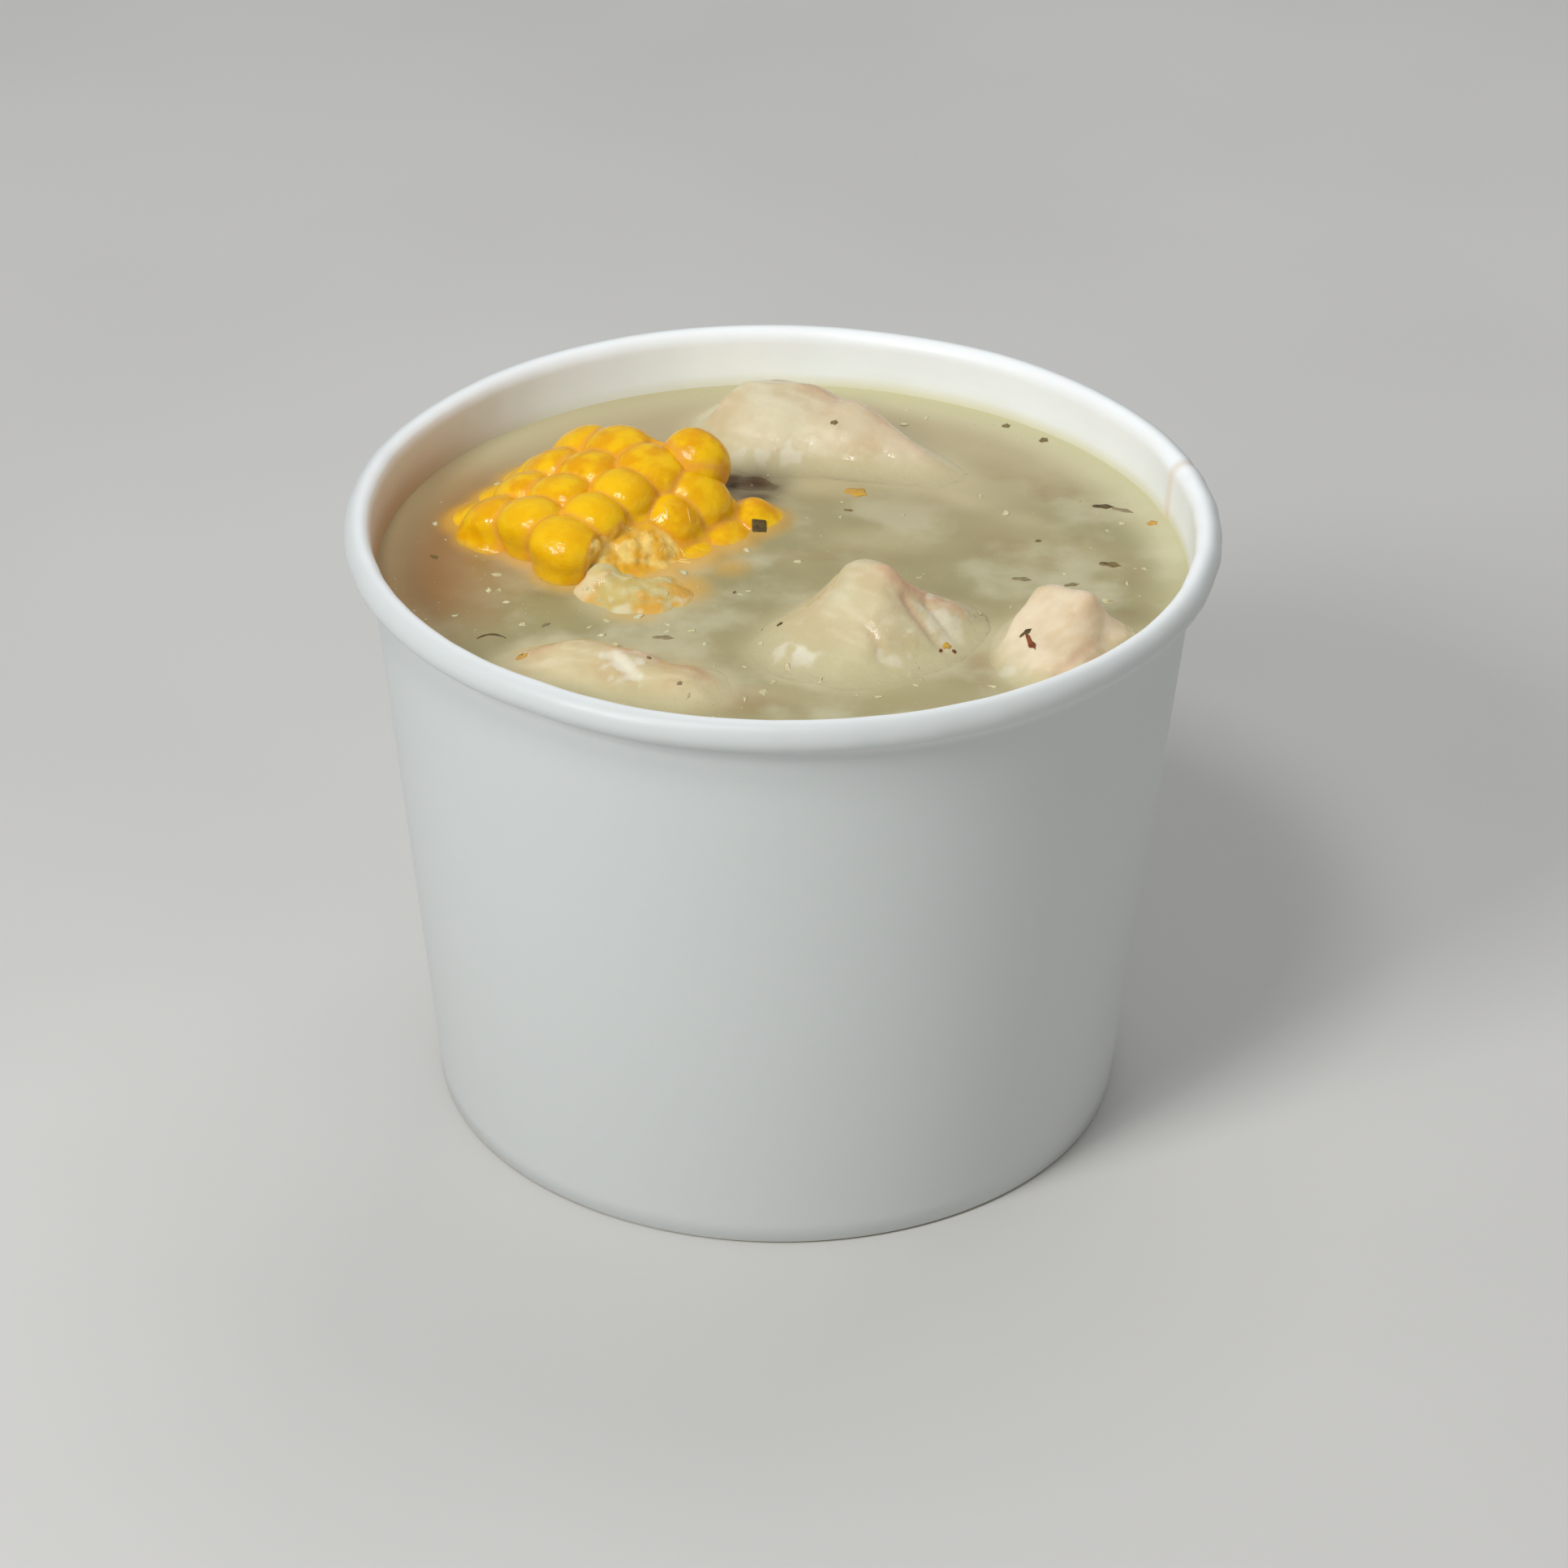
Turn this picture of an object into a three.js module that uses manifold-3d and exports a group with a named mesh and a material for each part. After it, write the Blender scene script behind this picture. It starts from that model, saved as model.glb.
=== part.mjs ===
// Sancocho in a white paper soup cup: a pale, cloudy broth with a length of corn on the cob, four
// pieces of chicken and a few flecks of herb. Millimetres, +Z up, origin at the middle of the foot.
// The cup is a tapered paper wall with a rolled rim and a folded hem, and a pressed-in base disc.
// The food stands in the broth, and the broth is cut round each piece with a small gap.

import * as THREE from "three";
import { mergeVertices } from "three/addons/utils/BufferGeometryUtils.js";
import Module from "manifold-3d";

// ---- Driving dimensions ------------------------------------------------------------------------

const GAP = 0.3; // left between neighbouring pieces

// Cup: a squat 12-ounce container, 98 mm across its rim.
const RIM_RADIUS = 49;
const CUP_HEIGHT = 72.3;
const ROLL_WIDTH = 3.0; // the rolled rim is an upright oval
const ROLL_HEIGHT = 3.6;
const ROLL_START = -135; // where the roll leaves the wall's outside, degrees round the oval
const ROLL_STEPS = 10;
const BEHIND_ROLL = 0.4; // how far the wall runs up behind the roll's underside
const FOOT_RADIUS = 39.8; // outside of the wall at the floor
const NECK_RADIUS = 46.33; // outside of the wall just under the roll
const PAPER = 0.45;
const HEM_HEIGHT = 6.8; // the wall folds inwards at the foot, up to here
const HEM_POCKET = 1.0; // space between the wall and its folded hem, for the base's flange
const FOLD_ROUND = 0.4;
const BASE_TOP = 8.2; // the base disc is pressed in above the hem
const FLANGE_END = 1.4;
const SEAM_ANGLE = 15; // side seam, degrees from +X towards +Y
const SEAM_WIDTH = 6; // overlap of the wall's two edges
const SEAM_STEP = 0.3;
const SEAM_TOP = 69.7; // it ends in the roll
const ROUND_STEPS = 60; // facets round the cup

// Broth
const BROTH_LEVEL = 65;
const CREEP_HEIGHT = 0.5; // the broth climbs the wall a little
const CREEP_WIDTH = 1.6;

// Corn: a cut length of an ear whose axis points back and to the right, and rises a little.
const EAR_MIDDLE = new THREE.Vector3(-22.6, 6, 54.5);
const EAR_HEADING = 54.8; // degrees from +X towards +Y
const EAR_RISE = 9.9; // degrees
const EAR_RADIUS = 18.8; // out to the kernels' crowns, beside EAR_MIDDLE
const EAR_TAPER = 0.03; // lost for each millimetre towards the back
const EAR_ROWS = 16;
const ROW_TURN = 360 / EAR_ROWS;
const TOP_ROW_TURN = 14.2; // the row nearest the top, degrees towards the cup's front
const KERNEL_PITCH = 5.48; // along a row
const KERNEL_HALF = { round: 3.6, along: 3.2, deep: 3.2 };
const KERNEL_FACETS = [8, 6]; // round it, and from crown to root
const HEIGHT_VARIES = 3; // how much of a kernel's unevenness shows in its height, in millimetres
const BED_RADIUS = 15.9; // where the kernels have grown together
const COB_RADIUS = 10;
const COB_SIDES = 24;
const EAR_FRONT = -4.2; // cut ends, measured along the axis from EAR_MIDDLE
const EAR_BACK = 15.2;
const BACK_SLANT = 0.22; // the back is cut aslant, longer towards the cup's front

// Rows that stand out of the broth: place in the ring, first kernel's distance along the axis from
// EAR_MIDDLE, and how many. The rows further round are sunk and bare: nothing of them shows.
const SHOWN_ROWS = [
  { row: -3, first: -2.2, kernels: 3 },
  { row: -2, first: -4.1, kernels: 4 },
  { row: -1, first: -4.2, kernels: 4 },
  { row: 0, first: -6.0, kernels: 4 },
  { row: 1, first: 6.5, kernels: 2 }, // its front kernels have come off
  { row: 2.08, first: 0.2, kernels: 4 },
];
const TORN_HALF = { round: 2.7, along: 2.6, deep: 3.6 };
const TORN_KERNELS = [
  { row: 0.85, along: -0.4, height: 17.2 },
  { row: 1.1, along: 2.0, height: 17.6 },
  { row: 1.45, along: 0.6, height: 16.7 },
  { row: 0.7, along: -4.4, height: 16.8 },
];
const LOOSE_KERNEL = {
  row: 0.45,
  along: 15.7,
  height: 19.9,
  half: { round: 3.9, along: 3.5, deep: 4.3 },
};
const BALD_PATCH = {
  heart: [-16, -6.5, 58],
  lobes: [
    { at: [-16.2, -7.6, 60.4], half: [6.4, 7.4, 6.0], turn: -20 },
    { at: [-19.9, -5.6, 62.2], half: [3.6, 4.4, 5.2], turn: 0 },
    { at: [-12.4, -6.6, 60.4], half: [3.6, 4.8, 5.6], turn: 0 },
  ],
  rough: 0.3,
  round: 22,
  rings: 11,
};

// Chicken: each piece is a few rounded lobes that melt into each other. "at" is a lobe's middle,
// "half" its half sizes and "turn" its heading in degrees. "rough" is how deep its folds are, and
// "round" and "rings" are how finely it is drawn, round its heart and from top to underside.
const CHICKEN = {
  chicken_drumstick: {
    heart: [5, 29, 59],
    lobes: [
      { at: [-0.2, 32.4, 58.7], half: [12.1, 11.6, 12.2], turn: -15 },
      { at: [6.9, 28.9, 60.7], half: [10.7, 7.2, 9.6], turn: -28 },
      { at: [14.2, 24.6, 59.8], half: [9.3, 5.8, 7.1], turn: -30 },
      { at: [21.8, 18.3, 59.2], half: [9.1, 4.7, 5.6], turn: -32 },
    ],
    rough: 0.2,
    round: 30,
    rings: 14,
    flecks: [{ at: [5.8, 26.0], size: [1.5, 1.0], turn: -20 }],
  },
  chicken_peak: {
    heart: [9.5, -17, 60],
    lobes: [
      { at: [10.0, -15.7, 61.2], half: [10.6, 10.2, 9.4], turn: 0 },
      { at: [9.7, -14.7, 66.8], half: [4.0, 6.0, 6.1], turn: 20 },
      { at: [3.3, -19.4, 61.0], half: [7.8, 6.9, 6.8], turn: 25 },
      { at: [17.4, -14.6, 62.4], half: [4.6, 6.2, 5.6], turn: -25 },
      { at: [8.3, -21.4, 60.4], half: [9.0, 7.6, 7.3], turn: 0 },
    ],
    rough: 0.2,
    round: 30,
    rings: 14,
  },
  chicken_slab: {
    heart: [31, -18.5, 60],
    lobes: [
      { at: [30.9, -16.4, 61.7], half: [5.0, 6.9, 8.9], turn: 10 },
      { at: [34.9, -15.6, 59.7], half: [5.5, 6.7, 6.6], turn: 20 },
      { at: [27.8, -17.7, 62.2], half: [4.1, 6.0, 5.2], turn: -10 },
      { at: [30.1, -23.1, 61.4], half: [6.6, 6.2, 6.7], turn: 35 },
    ],
    rough: 0.15,
    round: 24,
    rings: 12,
    flecks: [
      { at: [26.9, -20.9], size: [1.8, 0.8], turn: 25 },
      { at: [27.1, -22.4], size: [3.0, 0.75], turn: -80 },
    ],
  },
  chicken_sliver: {
    heart: [-17, -26, 60],
    lobes: [
      { at: [-20.3, -24.7, 61.0], half: [9.8, 5.8, 7.0], turn: -15 },
      { at: [-11.6, -28.0, 61.1], half: [8.0, 5.9, 6.1], turn: -12 },
      { at: [-27.9, -25.1, 60.4], half: [5.7, 4.3, 5.9], turn: -40 },
    ],
    rough: 0.15,
    round: 24,
    rings: 12,
  },
};
const LOBE_MELT = 2.2; // how softly lobes join
const UPPER_RINGS = 0.8; // share of a piece's rings of points that lies above ...
const UPPER_SPAN = 0.52; // ... this share of the way from its top to its underside

// A dark scrap, mostly sunk, between the corn and the drumstick.
const SCRAP = {
  heart: [-3.4, 19.4, 64],
  round: 10,
  rings: 6,
  lobes: [
    { at: [-4.4, 19.8, 64.3], half: [2.4, 1.7, 1.7], turn: 20 },
    { at: [-1.6, 18.9, 63.9], half: [2.6, 1.3, 1.5], turn: -15 },
  ],
  rough: 0.15,
};

// Flecks big enough to see from a step away: length, width and heading on what carries them.
const FLECK_HEIGHT = 0.35;
const FLECK_FACETS = [6, 4];
const BROTH_FLECKS = [
  { at: [37.9, 16], size: [3.3, 0.7], turn: -8 },
  { at: [37.1, 1.8], size: [2.4, 0.6], turn: -18 },
  { at: [-39.2, 1.6], size: [1.6, 0.7], turn: -45 },
  { at: [-32.7, -17.0], size: [2.2, 0.55], turn: 38 },
  { at: [-31.0, -16.4], size: [2.2, 0.5], turn: -12 },
  { at: [8.6, 18.7], size: [3.2, 1.7], turn: -6 }, // a bit of corn
  { at: [7.8, 13.9], size: [1.7, 0.6], turn: -10 },
  { at: [25.6, 36.0], size: [1.5, 0.7], turn: 10 },
];
const CORN_LEAF = { row: 2.03, along: 14.5, height: 18.1, half: { round: 0.85, along: 0.75, deep: 0.5 } };

// ---- Solids ------------------------------------------------------------------------------------

const wasm = await Module();
wasm.setup();
const radians = THREE.MathUtils.degToRad;

// A closed three.js geometry as a manifold solid.
function solidOf(geometry) {
  const bare = geometry.index ? geometry.toNonIndexed() : geometry.clone();
  bare.deleteAttribute("normal");
  bare.deleteAttribute("uv");
  const merged = mergeVertices(bare, 1e-4);
  return new wasm.Manifold(
    new wasm.Mesh({
      numProp: 3,
      vertProperties: merged.attributes.position.array,
      triVerts: new Uint32Array(merged.index.array),
    }),
  );
}

// The largest body of a manifold solid as a three.js geometry: loose scraps are dropped.
function geometryOf(solid) {
  const bodies = solid.decompose().sort((a, b) => b.volume() - a.volume());
  const mesh = bodies[0].getMesh();
  return new THREE.BufferGeometry()
    .setAttribute("position", new THREE.BufferAttribute(new Float32Array(mesh.vertProperties), 3))
    .setIndex(new THREE.BufferAttribute(new Uint32Array(mesh.triVerts), 1));
}

const joined = (solids) => solids.reduce((all, next) => all.add(next));

// A profile of [radius, height] pairs, turned round Z.
function turned(profile) {
  const points = profile.map(([radius, height]) => new THREE.Vector2(radius, height));
  return new THREE.LatheGeometry(points, ROUND_STEPS).rotateX(Math.PI / 2);
}

// ---- Cup ---------------------------------------------------------------------------------------

const wallOutside = (height) =>
  FOOT_RADIUS + ((NECK_RADIUS - FOOT_RADIUS) * height) / (CUP_HEIGHT - ROLL_HEIGHT);
const wallInside = (height) => wallOutside(height) - PAPER;

function rolledRim() {
  const middle = [RIM_RADIUS - ROLL_WIDTH / 2, CUP_HEIGHT - ROLL_HEIGHT / 2];
  const oval = [];
  for (let turn = ROLL_START; turn <= 180; turn += (180 - ROLL_START) / ROLL_STEPS) {
    oval.push([
      middle[0] + (ROLL_WIDTH / 2) * Math.cos(radians(turn)),
      middle[1] + (ROLL_HEIGHT / 2) * Math.sin(radians(turn)),
    ]);
  }
  return oval;
}

// The overlap of the paper's two edges is a second layer on the outside of the wall.
function addSeam(geometry) {
  const position = geometry.getAttribute("position");
  const seam = radians(SEAM_ANGLE);
  for (let i = 0; i < position.count; i++) {
    const [x, y, z] = [position.getX(i), position.getY(i), position.getZ(i)];
    const radius = Math.hypot(x, y);
    const offset = Math.abs(Math.atan2(y, x) - seam) * radius;
    const onOutside = z > FOLD_ROUND / 2 && z < SEAM_TOP && radius > wallOutside(z) - PAPER / 2;
    if (offset > SEAM_WIDTH / 2 || !onOutside) continue;
    position.setXY(i, x * (1 + SEAM_STEP / radius), y * (1 + SEAM_STEP / radius));
  }
}

function cupWall() {
  const hemOutside = (height) => wallInside(height) - HEM_POCKET;
  const hemInside = (height) => hemOutside(height) - PAPER;
  const pocketFloor = FOLD_ROUND + PAPER / 2;
  const underRoll = CUP_HEIGHT - ROLL_HEIGHT + BEHIND_ROLL;
  const profile = [
    [wallOutside(0) - FOLD_ROUND, 0],
    [wallOutside(FOLD_ROUND), FOLD_ROUND],
    [wallOutside(underRoll), underRoll],
    ...rolledRim(),
    [wallInside(underRoll), underRoll],
    [wallInside(pocketFloor), pocketFloor],
    [hemOutside(pocketFloor), pocketFloor],
    [hemOutside(HEM_HEIGHT), HEM_HEIGHT],
    [hemInside(HEM_HEIGHT), HEM_HEIGHT],
    [hemInside(FOLD_ROUND), FOLD_ROUND],
    [hemInside(0) + FOLD_ROUND, 0],
  ];
  const geometry = turned([...profile, profile[0]]);
  addSeam(geometry);
  return geometry;
}

function cupBase() {
  const outside = (height) => wallInside(height) - GAP;
  const inside = (height) => outside(height) - (HEM_POCKET - 2 * GAP);
  const discUnder = BASE_TOP - PAPER;
  return turned([
    [0, discUnder],
    [inside(discUnder), discUnder],
    [inside(FLANGE_END), FLANGE_END],
    [outside(FLANGE_END), FLANGE_END],
    [outside(BASE_TOP), BASE_TOP],
    [0, BASE_TOP],
  ]);
}

// ---- Chicken and scrap: lobes melted together --------------------------------------------------

// Signed distance, roughly, from a point to a lobe. "grow" makes the lobe larger all round.
function lobeDistance(lobe, point, grow) {
  const [dx, dy, dz] = point.map((value, axis) => value - lobe.at[axis]);
  const turn = radians(lobe.turn);
  const local = [
    dx * Math.cos(turn) + dy * Math.sin(turn),
    -dx * Math.sin(turn) + dy * Math.cos(turn),
    dz,
  ];
  const half = lobe.half.map((size) => size + grow);
  const share = Math.hypot(...local.map((value, axis) => value / half[axis]));
  const slope = Math.hypot(...local.map((value, axis) => value / half[axis] ** 2));
  return slope < 1e-9 ? -Math.min(...half) : (share * (share - 1)) / slope;
}

function lumpDistance(lump, point, grow) {
  let nearest = Infinity;
  for (const lobe of lump.lobes) {
    const distance = lobeDistance(lobe, point, grow);
    const overlap = Math.max(LOBE_MELT - Math.abs(nearest - distance), 0) / LOBE_MELT;
    nearest = Math.min(nearest, distance) - (overlap ** 2 * LOBE_MELT) / 4;
  }
  return nearest - lump.rough * folds(point);
}

// Low folds of meat: a few crossing waves.
function folds([x, y, z]) {
  const crossing = Math.sin(0.55 * x + 0.3 * z) * Math.sin(0.7 * y - 0.25 * x);
  return crossing + Math.sin(0.8 * x - 0.5 * y + 0.4 * z) / 2;
}

// How far the surface lies from a starting point inside the lump, along a direction, by halving.
function reach(lump, from, direction, grow) {
  const precise = 1e-6;
  let [near, far] = [0, 2 * RIM_RADIUS];
  while (far - near > precise) {
    const middle = (near + far) / 2;
    const point = from.map((value, axis) => value + direction[axis] * middle);
    if (lumpDistance(lump, point, grow) < 0) near = middle;
    else far = middle;
  }
  return near;
}

// A share of the way from pole to pole, moved so that the rings crowd into the upper part.
function crowded(share) {
  if (share < UPPER_RINGS) return (share / UPPER_RINGS) * UPPER_SPAN;
  return UPPER_SPAN + ((share - UPPER_RINGS) / (1 - UPPER_RINGS)) * (1 - UPPER_SPAN);
}

// A globe of points, each moved out or in along its own direction until it meets the surface.
function lumpGeometry(lump, grow = 0) {
  const geometry = new THREE.SphereGeometry(1, lump.round, lump.rings).rotateX(Math.PI / 2);
  const position = geometry.getAttribute("position");
  const point = new THREE.Vector3();
  for (let i = 0; i < position.count; i++) {
    point.fromBufferAttribute(position, i);
    const turn = Math.atan2(point.y, point.x);
    const tilt = Math.PI * crowded(Math.acos(THREE.MathUtils.clamp(point.z, -1, 1)) / Math.PI);
    point.set(Math.sin(tilt) * Math.cos(turn), Math.sin(tilt) * Math.sin(turn), Math.cos(tilt));
    const distance = reach(lump, lump.heart, point.toArray(), grow);
    point.multiplyScalar(distance).add(new THREE.Vector3(...lump.heart));
    position.setXYZ(i, ...point.toArray());
  }
  return geometry;
}

// ---- Corn --------------------------------------------------------------------------------------

// The ear's own axes: x to the side the rows are counted towards, y up, z to the cob's front end.
const earPlace = (() => {
  const [heading, rise] = [radians(EAR_HEADING), radians(EAR_RISE)];
  const along = new THREE.Vector3(
    Math.cos(rise) * Math.cos(heading),
    Math.cos(rise) * Math.sin(heading),
    Math.sin(rise),
  );
  const side = new THREE.Vector3().crossVectors(along, new THREE.Vector3(0, 0, 1)).normalize();
  const up = new THREE.Vector3().crossVectors(side, along);
  return new THREE.Matrix4().makeBasis(side, up, along.negate()).setPosition(EAR_MIDDLE);
})();

// A rounded lump on the ear: in a row, at a distance along the axis, with its crown at "height"
// from the axis. Local z runs backwards along the cob, so "along" is negated.
function onEar({ row, along, height, half }, grow = 0) {
  const lump = new THREE.SphereGeometry(1, ...KERNEL_FACETS);
  lump.scale(half.round + grow, half.deep + grow, half.along + grow);
  lump.translate(0, height - half.deep, -along);
  lump.rotateZ(-radians(TOP_ROW_TURN + row * ROW_TURN));
  return lump.applyMatrix4(earPlace);
}

// Kernels differ a little, the same way on every run: about a tenth in size, and in height.
const uneven = (a, b) => 0.07 * Math.sin(12.9 * a + 4.1 * b + 1.3) + 0.05 * Math.sin(7.3 * a - 9.7 * b);

function wholeKernels() {
  const kernels = [];
  for (const { row, first, kernels: count } of SHOWN_ROWS) {
    for (let place = 0; place < count; place++) {
      const size = 1 + uneven(row, place);
      const along = first + place * KERNEL_PITCH;
      const height = EAR_RADIUS - EAR_TAPER * along + HEIGHT_VARIES * uneven(place, row);
      const { round, along: length, deep } = KERNEL_HALF;
      kernels.push({ row, along, height, half: { round: round * size, along: length * size, deep } });
    }
  }
  return kernels;
}

function kernelLumps(grow) {
  const torn = TORN_KERNELS.map((place) => ({ ...place, half: TORN_HALF }));
  return [...wholeKernels(), ...torn, LOOSE_KERNEL].map((kernel) => solidOf(onEar(kernel, grow)));
}

// A plain length of the ear, from cut to cut.
function earRod(radius, overrun = 0) {
  const rod = new THREE.CylinderGeometry(radius, radius, 1, COB_SIDES).rotateX(Math.PI / 2);
  const position = rod.getAttribute("position");
  for (let i = 0; i < position.count; i++) {
    const back = EAR_BACK + BACK_SLANT * position.getX(i) + overrun;
    position.setZ(i, position.getZ(i) < 0 ? -back : overrun - EAR_FRONT);
  }
  return solidOf(rod.applyMatrix4(earPlace));
}

function cobSolid(grow) {
  return earRod(COB_RADIUS + grow, grow).add(solidOf(lumpGeometry(BALD_PATCH, grow)));
}

function kernelSolid() {
  return joined([earRod(BED_RADIUS), ...kernelLumps(0), solidOf(onEar(CORN_LEAF))]).subtract(cobSolid(GAP));
}

// ---- Flecks and broth --------------------------------------------------------------------------

function fleck({ at, size, turn }, surface) {
  const lens = new THREE.SphereGeometry(1, ...FLECK_FACETS).rotateX(Math.PI / 2);
  lens.scale(size[0] / 2, size[1] / 2, FLECK_HEIGHT);
  return solidOf(lens.rotateZ(radians(turn)).translate(at[0], at[1], surface));
}

// Height of a lump's upper surface over a point of the plan.
function topOf(lump, [x, y]) {
  const from = [x, y, lump.heart[2]];
  return from[2] + reach(lump, from, [0, 0, 1], 0);
}

function brothBody() {
  const inside = (height) => wallInside(height) - GAP;
  const floor = BASE_TOP + GAP;
  const edge = BROTH_LEVEL + CREEP_HEIGHT;
  return solidOf(
    turned([
      [0, floor],
      [inside(floor), floor],
      [inside(edge), edge],
      [inside(edge) - CREEP_WIDTH, BROTH_LEVEL],
      [0, BROTH_LEVEL],
    ]),
  );
}

function brothSolid() {
  const ear = joined([earRod(BED_RADIUS + GAP, GAP), ...kernelLumps(GAP)]);
  const lumps = [...Object.values(CHICKEN), SCRAP].map((lump) => solidOf(lumpGeometry(lump, GAP)));
  const flecks = BROTH_FLECKS.map((one) => fleck(one, BROTH_LEVEL));
  return joined([brothBody(), ...flecks]).subtract(joined([ear, cobSolid(GAP), ...lumps]));
}

// ---- The part ----------------------------------------------------------------------------------

const matte = (color, roughness) => new THREE.MeshStandardMaterial({ color, roughness, metalness: 0 });
const paper = matte(0xe6e6e0, 0.5);
const broth = matte(0xb3a97f, 0.25);
const cob = matte(0xd8cc92, 0.5);
const kernel = matte(0xe3a414, 0.3);
const chicken = matte(0xd8c8a2, 0.4);
const dark = matte(0x3a2c20, 0.45);

const part = new THREE.Group();

function addNode(name, geometry, material) {
  const mesh = new THREE.Mesh(geometry, material);
  mesh.name = name;
  part.add(mesh);
}

addNode("cup_wall", cupWall(), paper);
addNode("cup_base", cupBase(), paper);
addNode("broth", geometryOf(brothSolid()), broth);
addNode("corn_cob", geometryOf(cobSolid(0)), cob);
addNode("corn_kernels", geometryOf(kernelSolid()), kernel);
for (const [name, lump] of Object.entries(CHICKEN)) {
  const flecks = (lump.flecks ?? []).map((one) => fleck(one, topOf(lump, one.at)));
  addNode(name, geometryOf(joined([solidOf(lumpGeometry(lump)), ...flecks])), chicken);
}
addNode("dark_scrap", lumpGeometry(SCRAP), dark);

export default part;
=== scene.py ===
# %% [markdown]
# # Sancocho in a paper soup cup
#
# The construction model gives every piece of this soup its size and its place: a paper cup, the
# broth, a length of corn on the cob, boiled chicken, and flecks of herb. This lesson dresses it.
# Each piece is made again as a fine mesh in the same place, and gets a material of its own.

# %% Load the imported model
import math
import random

import bmesh
import bpy
import numpy as np
from mathutils import Matrix, Quaternion, Vector, noise
from mathutils.bvhtree import BVHTree


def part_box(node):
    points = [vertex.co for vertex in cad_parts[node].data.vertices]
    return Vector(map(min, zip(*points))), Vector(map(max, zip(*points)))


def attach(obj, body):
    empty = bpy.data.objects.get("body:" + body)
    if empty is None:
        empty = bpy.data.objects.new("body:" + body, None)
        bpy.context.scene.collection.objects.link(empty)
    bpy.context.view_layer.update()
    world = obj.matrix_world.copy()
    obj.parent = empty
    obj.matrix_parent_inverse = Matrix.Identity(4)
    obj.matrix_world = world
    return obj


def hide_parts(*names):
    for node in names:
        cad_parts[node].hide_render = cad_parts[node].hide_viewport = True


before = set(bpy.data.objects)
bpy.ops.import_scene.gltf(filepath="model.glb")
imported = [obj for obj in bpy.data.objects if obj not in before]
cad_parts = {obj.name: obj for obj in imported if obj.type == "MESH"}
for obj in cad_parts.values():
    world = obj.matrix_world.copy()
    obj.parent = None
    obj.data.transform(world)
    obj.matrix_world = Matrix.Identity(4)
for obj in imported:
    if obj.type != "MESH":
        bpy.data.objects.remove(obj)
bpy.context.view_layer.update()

MM = 0.001
scene = bpy.context.scene

# %% [markdown]
# ## The camera
#
# The soup is looked at from a little over 30 degrees above the table, through a long lens: the
# rim's oval and the waterline's oval are then as flat as they should be. The small roll about the
# line of sight is that of a camera held in the hand.

# %% Camera
CAMERA_AT = Vector((0.475, -482.77, 323.67)) * MM
CAMERA_AIM = Vector((0.475, 0.0, 36.37)) * MM
CAMERA_ROLL = math.radians(0.728)

camera_data = bpy.data.cameras.new("camera")
camera_data.lens = 111.8
camera_data.sensor_width = 36
camera = bpy.data.objects.new("camera", camera_data)
scene.collection.objects.link(camera)
camera.location = CAMERA_AT
camera.rotation_mode = "QUATERNION"
aim = (CAMERA_AIM - CAMERA_AT).to_track_quat("-Z", "Y")
camera.rotation_quaternion = aim @ Quaternion((0, 0, 1), CAMERA_ROLL)
scene.camera = camera
print("camera looks down by", round(90 - math.degrees(aim.to_euler().x), 1), "degrees")

# %% [markdown]
# ## Light
#
# The key lamp stands in front, to the left and above: it lights the cup's front and the inside of
# its right wall, and leaves the inside of the left wall in shade. A smaller one stands higher. It
# throws the rim's soft shadow on the broth and gives the kernels their small gleams. A wide one
# behind lifts the shadows and isn't mirrored, so that no gleam on the wet food comes from it. A
# faint warm one fills in the right side.

# %% Lamps and sky
LAMPS_AIM = Vector((0, 0, 0.06))


def add_lamp(name, place, size, power, tint=(1, 1, 1), gleams=True):
    """A square lamp that points at the middle of the cup. It gleams if wet food mirrors it.

    place and size are in metres, and power is in watts.
    """
    data = bpy.data.lights.new(name, "AREA")
    data.size = size
    data.energy = power
    data.color = tint
    lamp = bpy.data.objects.new(name, data)
    lamp.location = Vector(place)
    lamp.rotation_euler = (LAMPS_AIM - lamp.location).to_track_quat("-Z", "Y").to_euler()
    lamp.visible_glossy = gleams
    scene.collection.objects.link(lamp)
    print(f"lamp {name}: {size} m across, {power} W")


add_lamp("key", (-0.48, -0.48, 0.54), 0.24, 3.5)
add_lamp("top", (-0.2, -0.36, 0.8), 0.17, 1.9)
add_lamp("top_back", (0.16, 0.42, 0.74), 0.5, 1.7, gleams=False)
add_lamp("fill", (0.7, -0.5, 0.30), 0.6, 0.5, tint=(1.0, 0.88, 0.76))

sky = bpy.data.worlds.new("sky")
sky.use_nodes = True
background = sky.node_tree.nodes["Background"]
background.inputs["Color"].default_value = (0.88, 0.9, 0.92, 1)
background.inputs["Strength"].default_value = 0.3
scene.world = sky
scene.view_settings.view_transform = "Standard"

# %% [markdown]
# ## Helpers for meshes
#
# Every piece is shaped in a bmesh and handed over at the end. A finished piece sits at the origin,
# with its place in its mesh, and rides with the cup. Modifiers are used on the way, so a second
# helper runs a bmesh through them and gives the result back.


# %% Helpers for meshes
TOUCHING = 0.001 * MM  # points closer than this become one
VERY_FAR = 1e9


def finished(name, bm, materials, stands_for=()):
    """Turns a bmesh into a piece of the object."""
    mesh = bpy.data.meshes.new(name)
    bm.to_mesh(mesh)
    bm.free()
    for material in materials:
        mesh.materials.append(material)
    mesh.shade_smooth()
    piece = bpy.data.objects.new(name, mesh)
    scene.collection.objects.link(piece)
    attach(piece, "root")
    if stands_for:
        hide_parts(*stands_for)
    triangles = sum(len(face.vertices) - 2 for face in mesh.polygons)
    print(f"{name}: {triangles} triangles")
    return piece


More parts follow.
